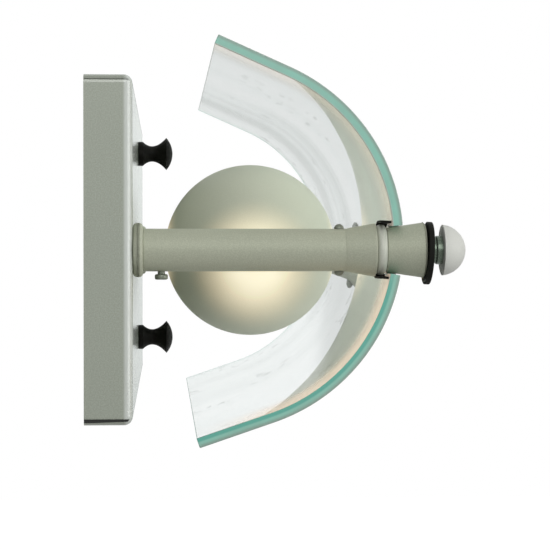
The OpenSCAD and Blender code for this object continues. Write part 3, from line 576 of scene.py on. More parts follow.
class Palette:
    """All finishes of the light, by the record's slot.

    After the name come the two colours, then roughness, metallic share, grain and relief.
    """

    PAN = PanFinish("pewter_pan", srgb(146, 152, 138), srgb(167, 173, 159), 0.45, 0.1, 1800.0,
                    specular=0.4, coat=1.0, coat_roughness=0.14)
    ARM = TurnedMetal("pewter_arm", srgb(171, 175, 156), srgb(189, 193, 174), 0.52, specular=0.06)
    RING = TurnedMetal("bright_ring", srgb(194, 197, 184), srgb(206, 209, 197), 0.45, specular=0.25)
    DOME = TurnedMetal("satin_dome", srgb(214, 215, 208), srgb(221, 222, 215), 0.48, 0.0, 2600.0, 0.005 * MM,
                       specular=0.25)
    NECK = TurnedMetal("dark_neck", srgb(86, 98, 85), srgb(114, 126, 112), 0.30, 0.6, 1800.0, 0.02 * MM)
    GUNMETAL = TurnedMetal("gunmetal", srgb(106, 111, 97), srgb(126, 131, 117), 0.36, 0.4, 2600.0)
    ZINC = Finish("zinc_steel", srgb(176, 180, 184), srgb(200, 203, 206), 0.34, 0.9, 900.0, 0.02 * MM)
    KNOB = Finish("black_knob", srgb(11, 11, 8), srgb(22, 22, 18), 0.50, 0.0, 2400.0, specular=0.08)
    RUBBER = Finish("black_rubber", srgb(14, 14, 11), srgb(22, 22, 18), 0.7, 0.0, 3000.0, 0.04 * MM,
                    specular=0.12)
    GLASS = ClearGlass("clear_glass", (0.33, 0.67, 0.55), (0.16, 0.51, 0.374))
    GLOBE = FrostedGlow("frosted_glass", srgb(183, 187, 169), srgb(189, 193, 176), 0.55, 0.0, 2200.0,
                        0.01 * MM, specular=0.2)
    CAP = Finish("lamp_cap", srgb(186, 184, 174), srgb(208, 206, 196), 0.28, 0.9, 1200.0, 0.02 * MM)
    STEM = Finish("lamp_stem", srgb(206, 208, 198), srgb(224, 226, 216), 0.16, 0.0, 700.0, 0.02 * MM)
    PORCELAIN = Finish("porcelain", srgb(232, 230, 222), srgb(242, 241, 235), 0.22, 0.0, 420.0, 0.05 * MM,
                       coat=0.4)
    BRASS = Finish("contact_brass", srgb(190, 158, 90), srgb(212, 182, 112), 0.3, 0.95, 1100.0, 0.02 * MM)
    EARTH = Finish("earth_green", srgb(38, 118, 62), srgb(60, 142, 82), 0.34, 0.7, 1200.0, 0.02 * MM)
    LEAD_BLACK = Finish("lead_black", srgb(24, 24, 24), srgb(38, 38, 38), 0.46, 0.0, 1500.0)
    LEAD_WHITE = Finish("lead_white", srgb(226, 225, 220), srgb(238, 238, 234), 0.46, 0.0, 1500.0)
    LEAD_GREEN = Finish("lead_green", srgb(52, 136, 74), srgb(70, 156, 92), 0.46, 0.0, 1500.0)
    CONNECTOR = Finish("connector_orange", srgb(216, 112, 36), srgb(232, 134, 58), 0.4, 0.0, 1300.0,
                       0.04 * MM)

    @classmethod
    def by_slot(cls, slot: str) -> Finish:
        """The finish whose name is the slot's."""
        return next(f for f in vars(cls).values() if isinstance(f, Finish) and f.name == slot)


# Surfaces


def unit(v: np.ndarray) -> np.ndarray:
    """Rows of v at length 1, with rows of no length left at zero."""
    length = np.linalg.norm(v, axis=-1, keepdims=True)
    return v / np.where(length < TINY, 1.0, length)


def rounded_line(corners: list, cut: "float | list" = 0.0, closed: bool = False) -> np.ndarray:
    """Line through corners, each taken by a quadratic curve from one cut before it to one cut after it.

    A straight piece gets one more point close to each curve, so that smooth shading keeps it flat.

    Args:
        corners: The corners as (radius, station).
        cut: Cut of every corner, or one for each corner.
        closed: Whether the line returns to its first corner.

    Returns:
        The line's points.
    """
    p = np.array(corners, float)
    cuts = np.broadcast_to(np.asarray(cut, float), len(p)).copy()
    if not closed:
        cuts[[0, -1]] = 0.0
    back = unit(np.roll(p, 1, axis=0) - p)
    ahead = unit(np.roll(p, -1, axis=0) - p)
    reach = cuts[:, None, None]
    t = np.linspace(0, 1, CURVE_POINTS)[None, :, None]
    curve = p[:, None] + reach * ((1 - t) ** 2 * back[:, None] + t**2 * ahead[:, None])
    before, after = (p[:, None] + HOLD * reach * way[:, None] for way in (back, ahead))
    lines = np.concatenate([before, curve, after], axis=1)
    return lines.reshape(-1, p.shape[1])


def band(inner: float, outer: float, start: float, end: float) -> list[list[float]]:
    """Corners of a plain tube's profile, as (radius, station)."""
    return [[inner, start], [outer, start], [outer, end], [inner, end]]


def ball_cap(radius: float, height: float, end: float, first: float, count: int) -> np.ndarray:
    """Profile of a cap cut from a ball, up to its pole.

    Args:
        radius: Radius of the rim.
        height: Height of the cap.
        end: Station of the pole.
        first: Angle from the rim where the line starts.
        count: Number of points.

    Returns:
        Points as (radius, station).
    """
    ball = (radius**2 + height**2) / (2 * height)
    r = radius * np.cos(np.linspace(first, np.pi / 2, count))
    r[-1] = 0.0
    return np.stack([r, end - ball + np.sqrt(ball**2 - r**2)], axis=1)


def welded(points: np.ndarray, quads: np.ndarray) -> tuple[np.ndarray, list]:
    """Joins points at the same place, and drops what a quad loses by that.

    Args:
        points: Points as rows.
        quads: Indices of four points a row.

    Returns:
        The points, and the faces as lists of indices.
    """
    keys = np.round(points / WELD).astype(np.int64)
    _, first, index = np.unique(keys, axis=0, return_index=True, return_inverse=True)
    quads = index.reshape(-1)[quads]
    same = quads == np.roll(quads, -1, axis=1)
    whole = quads[same.sum(axis=1) == 0]
    whole = whole[(whole[:, 0] != whole[:, 2]) & (whole[:, 1] != whole[:, 3])]
    cut = same.sum(axis=1) == 1
    triangles = quads[cut][~same[cut]].reshape(-1, 3)
    return points[first], whole.tolist() + triangles.tolist()


def volume(points: np.ndarray, quads: np.ndarray) -> float:
    """Signed volume inside a closed surface: the sum of the tetrahedra from one point to its triangles.

    Args:
        points: Points as rows.
        quads: Indices of four points a row.

    Returns:
        The volume, above zero where the faces point outwards.
    """
    a, b, c, d = (points[quads[:, k]] - points.mean(axis=0) for k in range(4))
    first = np.einsum("ij,ij->i", a, np.cross(b, c)).sum()
    return float(first + np.einsum("ij,ij->i", a, np.cross(c, d)).sum()) / 6


@dataclass
class Sheet:
    """A grid of points that is one part of a piece's surface. Its last row or column may join its first."""

    points: np.ndarray
    closed_rows: bool = False
    closed_columns: bool = False

    def quads(self) -> np.ndarray:
        """Indices of this sheet's quads, four a row."""
        rows, columns = self.points.shape[:2]
        steps = np.arange(rows - (not self.closed_rows)), np.arange(columns - (not self.closed_columns))
        i, j = (index.ravel() for index in np.meshgrid(*steps, indexing="ij"))
        i2, j2 = (i + 1) % rows, (j + 1) % columns
        return np.stack([i * columns + j, i * columns + j2, i2 * columns + j2, i2 * columns + j], axis=1)


def new_object(name: str, data: bpy.types.ID | None) -> bpy.types.Object:
    """Puts new data into the scene.

    Args:
        name: The object's name.
        data: Its mesh, light or camera.

    Returns:
        The new object, at the origin.
    """
    made = bpy.data.objects.new(name, data)
    bpy.context.scene.collection.objects.link(made)
    return made


def make_piece(name: str, sheets: list[Sheet], facing: bool = True) -> bpy.types.Object:
    """Puts sheets into one mesh, with its faces turned outwards.

    Args:
        name: The piece's name.
        sheets: Its sheets. Points at the same place are joined.
        facing: Whether the whole closed piece is turned by the sign of its volume.

    Returns:
        The new object, at the origin.
    """
    starts = np.cumsum([0] + [s.points.shape[0] * s.points.shape[1] for s in sheets])
    points = np.concatenate([s.points.reshape(-1, 3) for s in sheets])
    quads = np.concatenate([s.quads() + start for s, start in zip(sheets, starts)])
    if facing and volume(points, quads) < 0:
        quads = quads[:, ::-1]
    points, faces = welded(points, quads)
    mesh = bpy.data.meshes.new(name)
    mesh.from_pydata(points, [], faces)
    mesh.validate()
    mesh.shade_smooth()
    mesh.set_sharp_from_angle(angle=SHARP)
    mesh.update()
    return new_object(name, mesh)


class Along(Enum):
    """Direction in which a turned piece's stations grow, and the two directions across it."""

    OUT_FROM_WALL = ((0, -1, 0), (1, 0, 0), (0, 0, 1))
    RIGHT = ((1, 0, 0), (0, 1, 0), (0, 0, 1))
    LEFT = ((-1, 0, 0), (0, -1, 0), (0, 0, 1))
    DOWN = ((0, 0, -1), (0, 1, 0), (1, 0, 0))
    UP = ((0, 0, 1), (0, 1, 0), (-1, 0, 0))


@dataclass
class Turned:
    """A surface of revolution. A point is the origin, plus its station along the axis, plus its radius times
    the cosine and the sine of its angle across the axis. A wave is added to the radius."""

    origin: tuple[float, float, float]
    along: Along
    profile: np.ndarray
    closed: bool = False
    segments: int = 96
    lean: float = 0.0
    wave: np.ndarray | float = 0.0

    def sheet(self) -> Sheet:
        """The surface as a sheet: profile points by angles.

        Returns:
            The sheet.
        """
        axis, first, second = (np.array(v, float) for v in self.along.value)
        turn = np.linspace(0, 2 * np.pi, self.segments, endpoint=False)
        radius = self.profile[:, 0, None] * np.ones(self.segments) + self.wave
        across = np.cos(turn)[:, None] * first + np.sin(turn)[:, None] * second
        points = radius[..., None] * across + self.profile[:, 1, None, None] * axis
        if self.lean:
            points = points @ np.array(Matrix.Rotation(self.lean, 3, "X")).T
        return Sheet(points + np.array(self.origin), self.closed, True)


@dataclass
class Seat:
    """Place of a turned node, read from its box."""

    node: str
    along: Along = Along.OUT_FROM_WALL
    low: Vector = field(init=False)
    high: Vector = field(init=False)

    def __post_init__(self) -> None:
        """Reads the node's box."""
        self.low, self.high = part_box(self.node)

    @property
    def _axis(self) -> int:
        """Number of the axis that the stations run along."""
        return int(np.argmax(np.abs(self.along.value[0])))

    @property
    def origin(self) -> tuple[float, float, float]:
        """Point on the axis where the stations start, which is the wall or the middle plane."""
        centre = (self.low + self.high) / 2
        centre[self._axis] = 0.0
        return tuple(centre)

    @property
    def stations(self) -> Span:
        """First and last station."""
        sign = self.along.value[0][self._axis]
        return tuple(sorted((sign * self.low[self._axis], sign * self.high[self._axis])))

    @property
    def radius(self) -> float:
        """Largest radius."""
        return max(self.high[k] - self.low[k] for k in range(3) if k != self._axis) / 2


class Maker:
    """Methods that all sub-assemblies share."""

    def dress(self, *nodes: str) -> None:
        """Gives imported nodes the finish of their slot.

        Args:
            nodes: Names of the nodes.
        """
        for node in nodes:
            shown = frame["nodes"][node]
            for place in shown.material_slots:
                place.material = Palette.by_slot(place.material.name.split(".")[0]).material()
            LOG.info("dressed %s", node)

    def put(self, made: bpy.types.Object, finish: Finish, *nodes: str) -> None:
        """Gives a new piece its finish, its slot and its body, and hides the nodes that it stands for.

        Args:
            made: The new piece.
            finish: Its finish.
            nodes: The nodes that it replaces, which give its body.
        """
        made.data.materials.clear()
        made.data.materials.append(finish.material())
        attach(made, frame["nodes"][nodes[0]]["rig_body"])
        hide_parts(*nodes)
        LOG.info("made %s: %d faces", made.name, len(made.data.polygons))

    def turn(self, name: str, seat: Seat, line: np.ndarray, finish: Finish, **more: object) -> None:
        """Makes a turned piece with this profile in the place of a node."""
        self.put(make_piece(name, [Turned(seat.origin, seat.along, line, **more).sheet()]), finish, seat.node)

    def hollow(self, name: str, seat: Seat, corners: list, cut: "float | list", finish: Finish) -> None:
        """Makes a turned piece with a bore, from the corners of its closed profile."""
        self.turn(name, seat, rounded_line(corners, cut, closed=True), finish, closed=True)


@dataclass
class Sided(Maker):
    """A sub-assembly that is there at both ends of the light."""

    side: Side

    def named(self, name: str) -> str:
        """A name followed by the side's."""
        return f"{name}_{self.side.word}"


class BackPan(Maker):
    """Pressed pan on the wall, with its crossbar, studs, nuts and earth screw."""

    def build(self) -> None:
        """Dresses the nodes, whose shapes are right."""
        self.dress("back_pan", "mounting_crossbar", "mounting_studs", "stud_nuts", "earth_screw")


@dataclass
class MountingKnob(Maker):
    """Waisted black knob that holds the pan on a stud."""

    place: str
    foot_radius: float = 6.6 * MM
    foot_length: float = 2.4 * MM
    foot_edge: float = 0.5 * MM
    waist_radius: float = 4.2 * MM
    waist_distance: float = 7.4 * MM
    crown: float = 3.4 * MM
    crown_start: float = 0.06
    bore: float = 2.16 * MM
    bore_depth: float = 11.6 * MM
    body_points: int = 40
    crown_points: int = 16

    def profile(self, seat: Seat) -> np.ndarray:
        """Foot, two parabolas that meet at the waist, a rim and a crown that is an arc of a circle.

        Args:
            seat: Place of the knob.

        Returns:
            Points as (radius, station).
        """
        start, end = seat.stations
        rim, waist, floor = end - self.crown, start + self.waist_distance, start + self.bore_depth
        s = np.linspace(start + self.foot_length, rim, self.body_points)
        widest = np.where(s < waist, self.foot_radius, seat.radius)
        reach = np.where(s < waist, self.waist_distance - self.foot_length, rim - waist)
        r = self.waist_radius + (widest - self.waist_radius) * ((s - waist) / reach) ** 2
        body = np.stack([r, s], axis=1)
        corners = [[0, floor], [self.bore, floor], [self.bore, start], [self.foot_radius, start], body[0]]
        crown = ball_cap(seat.radius, self.crown, end, self.crown_start, self.crown_points)
        return np.concatenate([rounded_line(corners, self.foot_edge), body[1:-1], crown])

    def build(self) -> None:
        """Makes the knob."""
        seat = Seat(f"mounting_knob_{self.place}")
        self.turn(f"knob_{self.place}", seat, self.profile(seat), Palette.KNOB)


@dataclass
class Arm(Sided):
    """Flange, tube, thumb screw and flared collar of one arm."""

    rod_hole: float = 3.1 * MM
    spigot: float = 8.2 * MM
    flange_thickness: float = 4.6 * MM
    flange_lean: float = 0.2 * MM
    tube_wall: float = 1.3 * MM
    collar_neck: float = 9.62 * MM
    collar_spigot: float = 9.0 * MM
    thumb_shank: float = 1.65 * MM
    thumb_head: float = 2.5 * MM
    edge: float = 0.35 * MM
    far_edge: float = 0.15 * MM
    spigot_edge: float = 0.3 * MM
    rim_edge: float = 0.6 * MM
    rim_share: float = 0.8
    flare_points: int = 9
    shank_edge: float = 0.2 * MM
    head_edge: float = 0.9 * MM

    def flange(self) -> None:
        """Flange with a full round rim, and its spigot."""
        seat = Seat(self.named("arm_flange"))
        start, end = seat.stations
        front, half = start + self.flange_thickness, self.flange_thickness / 2
        face = seat.radius - self.flange_lean
        corners = [[self.rod_hole, start], [face, start], [seat.radius, start + half], [face, front]]
        corners += [[self.spigot, front], [self.spigot, end], [self.rod_hole, end]]
        slope = half * self.rim_share
        cut = [BORE_EDGE, slope, self.rim_edge, slope, CORNER, self.spigot_edge, BORE_EDGE]
        self.hollow(self.named("flange"), seat, corners, cut, Palette.ARM)

    def tube(self) -> None:
        """Straight tube with slightly broken edges."""
        seat = Seat(self.named("arm_tube"))
        corners = band(seat.radius - self.tube_wall, seat.radius, *seat.stations)
        cut = [BORE_EDGE, self.edge, self.far_edge, BORE_EDGE]
        self.hollow(self.named("tube"), seat, corners, cut, Palette.ARM)

    def collar(self) -> None:
        """Flared collar: it widens evenly from the tube to the ring."""
        seat = Seat(self.named("flared_collar"))
        start, end = seat.stations
        neck = start + self.collar_spigot
        flare = np.linspace((self.collar_neck, neck), (seat.radius, end - self.edge), self.flare_points)
        corners = [[self.rod_hole, start], [self.spigot, start], [self.spigot, neck], *flare.tolist()]
        corners += [[seat.radius - self.edge, end], [self.rod_hole, end]]
        cut = [BORE_EDGE, self.spigot_edge, CORNER, *[0.0] * (self.flare_points - 1)]
        cut += [self.spigot_edge, BORE_EDGE, BORE_EDGE]
        self.hollow(self.named("collar"), seat, corners, cut, Palette.ARM)

    def thumb_screw(self) -> None:
        """Screw under the tube: a plain shank and a flat head with a round rim."""
        seat = Seat(self.named("thumb_screw"), Along.DOWN)
        start, end = seat.stations
        head = end - self.thumb_head
        corners = [[0, start], [self.thumb_shank, start], [self.thumb_shank, head], [seat.radius, head]]
        corners += [[seat.radius, end], [0, end]]
        cut = [0, self.shank_edge, self.shank_edge, self.head_edge, self.head_edge, 0]
        line = rounded_line(corners, cut)
        self.turn(self.named("thumb_screw_head"), seat, line, Palette.GUNMETAL)

    def build(self) -> None:
        """Makes the arm's pieces and dresses its rod."""
        self.flange()
        self.tube()
        self.collar()
        self.thumb_screw()
        self.dress(self.named("arm_rod"))


@dataclass
class Clamp(Sided):
    """Ring, rubber saddle and cone that hold the glass, and the washer and finial outside it."""

    rod_hole: float = 3.1 * MM
    cone_small: float = 10.0 * MM
    cone_edge: float = 0.4 * MM
    washer_bore: float = 8.2 * MM
    washer_half: float = 1.2 * MM
    washer_radius: float = 14.2 * MM
    washer_edge: float = 0.35 * MM
    washer_lean: float = math.radians(2.6)
    rod_thread: float = 3.06 * MM
    groove: float = 0.5 * MM
    groove_shares: tuple[float, ...] = (0.30, 0.38, 0.62, 0.70)
    dome_bore_depth: float = 5.6 * MM
    dome_edge: float = 0.3 * MM
    dome_start: float = 0.05
    dome_points: int = 40
    rim_points: int = 25
    small_edge: float = 0.3 * MM
    wide_edge: float = 0.6 * MM
    neck_edge: float = 0.2 * MM

    def ring(self) -> None:
        """Ring with a full round rim."""
        seat = Seat(self.named("clamp_ring"))
        start, end = seat.stations
        turn = np.linspace(-np.pi / 2, np.pi / 2, self.rim_points)
        middle, half = (start + end) / 2, (end - start) / 2
        rim = np.stack([seat.radius - half + half * np.cos(turn), middle + half * np.sin(turn)], axis=1)
        corners = [[self.rod_hole, start], *rim.tolist(), [self.rod_hole, end]]
        self.hollow(self.named("ring"), seat, corners, 0.0, Palette.RING)

    def cone(self) -> None:
        """Cone that widens from the ring through the notch in the glass, with a round outer edge."""
        seat = Seat(self.named("clamp_cone"))
        start, end = seat.stations
        corners = [[self.rod_hole, start], [self.cone_small, start], [seat.radius, end - self.cone_edge]]
        corners += [[seat.radius - self.cone_edge, end], [self.rod_hole, end]]
        cut = [BORE_EDGE, self.small_edge, self.wide_edge, self.wide_edge, BORE_EDGE]
        self.hollow(self.named("cone"), seat, corners, cut, Palette.ARM)

    def washer(self) -> None:
        """Loose rubber washer, hanging and leaning on the neck."""
        seat = Seat(self.named("rubber_washer"))
        corners = band(self.washer_bore, self.washer_radius, -self.washer_half, self.washer_half)
        line = rounded_line(corners, self.washer_edge, closed=True)
        centre = tuple((seat.low + seat.high) / 2)
        turned = Turned(centre, seat.along, line, closed=True, lean=self.washer_lean)
        self.put(make_piece(self.named("washer"), [turned.sheet()]), Palette.RUBBER, seat.node)

    def neck(self) -> None:
        """Dark neck with a turned groove round its middle."""
        seat = Seat(self.named("finial_neck"))
        start, end = seat.stations
        radii = seat.radius - self.groove * np.array([0, 1, 1, 0])
        stations = start + (end - start) * np.array(self.groove_shares)
        groove = np.stack([radii, stations], axis=1).tolist()
        corners = [[self.rod_thread, start], [seat.radius, start], *groove]
        corners += [[seat.radius, end], [self.rod_thread, end]]
        cut = [CORNER, *[self.neck_edge] * (len(groove) + 1), CORNER, CORNER]
        self.hollow(self.named("neck"), seat, corners, cut, Palette.NECK)

    def dome(self) -> None:
        """Half ball, bored for the rod."""
        seat = Seat(self.named("finial_dome"))
        start, end = seat.stations
        shell = ball_cap(seat.radius, end - start, end, self.dome_start, self.dome_points)
        floor = start + self.dome_bore_depth
        corners = [[0, floor], [self.rod_thread, floor], [self.rod_thread, start]]
        corners += [[seat.radius - self.dome_edge, start], shell[0]]
        line = np.concatenate([rounded_line(corners, [0, 0, 0, self.dome_edge, 0]), shell[1:]])
        self.turn(self.named("dome"), seat, line, Palette.DOME)

    def build(self) -> None:
        """Makes the clamp's pieces and dresses its saddle."""
        self.ring()
        self.cone()
        self.washer()
        self.neck()
        self.dome()
        self.dress(self.named("rubber_saddle"))


@dataclass
class CollarScrews(Maker):
    """Four button-headed screws, above and below each arm."""

    shank: float = 1.2 * MM
    shank_start: float = 3.7 * MM
    head_start: float = 9.6 * MM
    head_radius: float = 2.3 * MM
    head_height: float = 2.2 * MM
    station: float = 114.3 * MM
    crown_points: int = 14
    segments: int = 32

    def build(self) -> None:
        """Makes the four as one piece: a shank, a sharp head edge, and a crown that is an arc of a circle."""
        shank = [[0, self.shank_start], [self.shank, self.shank_start], [self.shank, self.head_start]]
        end = self.head_start + self.head_height
        crown = ball_cap(self.head_radius, self.head_height, end, 0.0, self.crown_points)
        line = np.concatenate([shank, crown])
        sheets = []
        for side in Side:
            axis = Seat(f"arm_tube_{side.word}").origin[0]
            for way in (Along.UP, Along.DOWN):
                screw = Turned((axis, -self.station, 0.0), way, line, segments=self.segments)
                sheets.append(screw.sheet())
        self.put(make_piece("button_screws", sheets), Palette.GUNMETAL, "collar_screws")


def tilted(out: np.ndarray, up: np.ndarray, angle: float) -> tuple[np.ndarray, np.ndarray]:
    """Distances outwards and heights, turned by an angle in their plane."""
    return out * math.cos(angle) - up * math.sin(angle), out * math.sin(angle) + up * math.cos(angle)


@dataclass
class GlassShade(Maker):
    """Bent clear glass: an arc with straight ends, notched at both ends of the light where the arms pass."""

    radius: float = 84.7 * MM
    thickness: float = 4.6 * MM
    half_angle: float = math.radians(68.6)
    straight: float = 35.2 * MM
    half_width: float = 190.0 * MM
    arm_x: float = 176.5 * MM
    notch: float = 11.18 * MM
    drop: float = 0.15 * MM
    tilt: float = math.radians(2.6)
    edge: float = 0.45 * MM
    edge_limit: float = math.radians(50)
    edge_segments: int = 3
    notch_points: int = 33
    arc_points: int = 64
    tangent_points: int = 8
    width_points: int = 25
    ear_points: int = 4

    @property
    def front(self) -> float:
        """Distance from the wall of the apex that the glass is tilted about. Its front is a little beyond."""
        return -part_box("glass_shade")[0].y - self.radius * (1 - math.cos(self.tilt))

    def points(self, x: np.ndarray, along: np.ndarray, depth: float) -> np.ndarray:
        """Points of the glass, whose section is a circle's arc up to the half angle, and then its tangent.

        Args:
            x: Places in x.
            along: Lengths along the outer face, from the apex upwards.
            depth: Distance inwards from the outer face.

        Returns:
            The points.
        """
        along = np.broadcast_to(along, x.shape)
        arc = self.radius * self.half_angle
        turn = np.clip(along, -arc, arc) / self.radius
        rest = along - turn * self.radius
        r = self.radius - depth
        out = r * np.cos(turn) - rest * np.sin(turn) - self.radius
        out, up = tilted(out, r * np.sin(turn) + rest * np.cos(turn), -self.tilt)
        return np.stack([x, -self.front - out, up - self.drop], axis=-1)

    def notch_end(self, along: np.ndarray) -> np.ndarray:
        """Where the glass ends in x at a place on the notch's round bottom."""
        return self.arm_x - np.sqrt(np.maximum(self.notch**2 - along**2, 0.0))

    def build(self) -> None:
        """Makes the outer and inner faces from five panels, and the walls round their shared edge."""
        bent = self.radius * self.half_angle
        inside = self.notch * np.sin(np.linspace(-np.pi / 2, np.pi / 2, self.notch_points))
        tangent = np.linspace(bent, bent + self.straight, self.tangent_points)
        upper = np.concatenate([np.linspace(self.notch, bent, self.arc_points), tangent[1:]])
        rows = np.concatenate([-upper[:0:-1], inside, upper[1:]])
        share = np.linspace(-1, 1, self.width_points)
        reach = np.where(np.abs(rows) <= self.notch, self.notch_end(rows), self.arm_x)
        ear_x = np.linspace(self.arm_x, self.half_width, self.ear_points)
        panels = [(rows, reach[:, None] * share)]
        for sign in (-1, 1):
            for half in (upper, -upper[::-1]):
                panels.append((half, np.tile(sign * ear_x[::sign], (len(half), 1))))
        sheets = []
        for depth in (0.0, self.thickness):
            for along, x in panels:
                points = self.points(x, along[:, None], depth)
                sheets.append(Sheet(points[:, ::-1] if depth else points))
        for x, along, flip in self.rims(upper, inside, ear_x, share):
            wall = np.stack([self.points(x, along, depth) for depth in (0.0, self.thickness)])
            sheets.append(Sheet(wall[::-1] if flip else wall))
        glass = make_piece("bent_glass", sheets)
        self.mark_depth(glass.data)
        bevel = glass.modifiers.new("polished_edge", "BEVEL")
        bevel.width = self.edge
        bevel.segments = self.edge_segments
        bevel.limit_method = "ANGLE"
        bevel.angle_limit = self.edge_limit
        bevel.harden_normals = True
        self.put(glass, Palette.GLASS, "glass_shade")

    def mark_depth(self, mesh: bpy.types.Mesh) -> None:
        """Keeps each point's depth in the glass, from 0 outside to 1 inside. The point is turned back by the
        tilt. Its distance from the axis is then measured along the face's normal, whose angle ends at the
        half angle.

        Args:
            mesh: The glass.
        """
        points = np.empty(len(mesh.vertices) * 3)
        mesh.vertices.foreach_get("co", points)
        out, up = tilted(-points[1::3] - self.front, points[2::3] + self.drop, self.tilt)
        out = out + self.radius
        turn = np.clip(np.arctan2(up, out), -self.half_angle, self.half_angle)
        depth = (self.radius - out * np.cos(turn) - up * np.sin(turn)) / self.thickness
        marks = mesh.attributes.new("glass_depth", "FLOAT", "POINT")
        marks.data.foreach_set("value", np.clip(depth, 0.0, 1.0))

    def rims(
        self, upper: np.ndarray, inside: np.ndarray, ear_x: np.ndarray, share: np.ndarray
    ) -> list[tuple[np.ndarray, np.ndarray, bool]]:
        """Lines of the rim, in the order that turns their walls outwards.

        Args:
            upper: Lengths along the section above the notch.
            inside: Those in the notch.
            ear_x: Places in x of the parts beside a notch.
            share: Places in x of the middle, as shares of its width.

        Returns:
            For each line its x, its length along the section, and whether its wall is turned round.
        """
        lines = []
        for sign in (-1, 1):
            for end in (-1, 1):
                outside = np.full(len(upper), sign * self.half_width)
                lines.append((outside, end * upper, sign * end > 0))
                lines.append((sign * ear_x, end * self.notch, sign * end > 0))
                lines.append((sign * ear_x, end * upper[-1], sign * end < 0))
            lines.append((sign * self.notch_end(inside), inside, sign > 0))
        for end in (-1, 1):
            lines.append((self.arm_x * share, end * upper[-1], end < 0))
        return lines


@dataclass
class LampCarrier(Maker):
    """Post from the pan to the hub between the two sockets, with its flange and nut, and the socket cups."""

    nipple_bore: float = 5.7 * MM
    nipple_radius: float = 5.6 * MM
    post_start: float = 25.0 * MM
    bore: float = 4.4 * MM
    cup_wall: float = 1.0 * MM
    wide_edge: float = 1.6 * MM
    edge: float = 0.4 * MM
    post_edge: float = 0.2 * MM
    floor_edge: float = 0.8 * MM

    def foot(self) -> None:
        """Flange of the post, on the pan."""
        seat = Seat("post_flange")
        cut = [BORE_EDGE, self.wide_edge, self.wide_edge, BORE_EDGE]
        self.hollow("post_foot", seat, band(self.nipple_bore, seat.radius, *seat.stations), cut, Palette.ARM)

    def post(self) -> None:
        """Post with its thinner nipple."""
        seat = Seat("centre_post")
        start, end = seat.stations
        corners = [[self.bore, start], [self.nipple_radius, start], [self.nipple_radius, self.post_start]]
        corners += [[seat.radius, self.post_start], [seat.radius, end], [self.bore, end]]
        self.hollow("post", seat, corners, self.post_edge, Palette.ARM)

    def cup(self, side: Side) -> None:
        """Cup round one lamp holder.

        Args:
            side: Its side.
        """
        seat = Seat(f"socket_cup_{side.word}", side.way)
        start, end = seat.stations
        inner, floor = seat.radius - self.cup_wall, start + self.cup_wall
        corners = [[self.bore, start], [seat.radius, start], [seat.radius, end], [inner, end]]
        corners += [[inner, floor], [self.bore, floor]]
        cut = [BORE_EDGE, self.wide_edge, self.edge, self.edge, self.floor_edge, BORE_EDGE]
        self.hollow(f"cup_{side.word}", seat, corners, cut, Palette.ARM)

    def build(self) -> None:
        """Makes the flange, the post and the cups, and dresses the rest."""
        self.foot()
        self.post()
        for side in Side:
            self.cup(side)
            self.dress(*(f"{node}_{side.word}" for node in ("lamp_holder", "screw_shell", "centre_contact")))
        self.dress("socket_hub", "post_nut")


@dataclass
class Lamp(Sided):
    """Frosted globe lamp with its screw cap."""

    globe_radius: float = 41.5 * MM
    neck_radius: float = 13.0 * MM
    wall: float = 0.9 * MM
    tip: float = 2.0 * MM
    tip_radius: float = 3.0 * MM
    shoulder_radius: float = 5.0 * MM
    shoulder: float = 3.0 * MM
    pitch: float = 3.6 * MM
    thread: float = 0.45 * MM
    lean: float = math.pi / 4
    tip_edge: float = 0.4 * MM
    shoulder_edge: float = 0.3 * MM
    neck_points: int = 24
    sphere_points: int = 72
    cap_points: int = 70
    segments: int = 144

    def globe(self) -> None:
        """Globe: a power curve from the cap to where the sphere leans at 45 degrees, then the sphere, and
        back inside."""
        seat = Seat(self.named("bulb_globe"), self.side.way)
        start, end = seat.stations
        r = self.globe_radius
        centre = end - r
        join = centre - r * math.cos(self.lean)
        widening = r * math.sin(self.lean) - self.neck_radius
        s = np.linspace(start, join, self.neck_points)[:-1]
        neck = self.neck_radius + widening * ((s - start) / (join - start)) ** ((join - start) / widening)
        turn = np.linspace(self.lean, np.pi, self.sphere_points)
        sphere = np.stack([r * np.sin(turn), centre - r * np.cos(turn)], axis=1)
        outer = np.concatenate([np.stack([neck, s], axis=1), sphere])
        outer[-1, 0] = 0.0
        along = np.gradient(outer, axis=0)
        inner = outer + unit(np.stack([-along[:, 1], along[:, 0]], axis=1)) * self.wall
        inner[-1, 0] = 0.0
        inner[0] = (self.neck_radius - self.wall, start)
        line = np.concatenate([outer[::-1], inner])
        self.turn(self.named("globe"), seat, line, Palette.GLOBE, segments=self.segments)

    def cap(self) -> None:
        """Screw cap: tip, shoulder, and a thread whose radius follows the cosine of station less turn."""
        seat = Seat(self.named("bulb_cap"), self.side.way)
        start, end = seat.stations
        s = np.linspace(start + self.tip + self.shoulder, end, self.cap_points)
        body = np.stack([np.full(len(s), self.neck_radius - self.thread), s], axis=1)
        corners = [[0, start], [self.tip_radius, start], [self.shoulder_radius, start + self.tip], body[0]]
        foot = rounded_line(corners, [0, self.tip_edge, self.shoulder_edge, 0])
        line = np.concatenate([foot, body[1:], [[0.0, end]]])
        turn = np.linspace(0, 2 * np.pi, Turned.segments, endpoint=False)
        fade = np.clip((s - s[0]) / self.pitch, 0, 1) * np.clip((end - s) / self.pitch, 0, 1)
        ridge = self.thread * fade[:, None] * np.cos(2 * np.pi * s[:, None] / self.pitch - turn)
        wave = np.zeros((len(line), len(turn)))
        wave[len(foot) : -1] = ridge[1:]
        self.turn(self.named("cap"), seat, line, Palette.CAP, wave=wave)

    def build(self) -> None:
        """Makes the lamp's pieces and dresses its stem."""
        self.globe()
        self.cap()
        self.dress(self.named("filament_stem"))


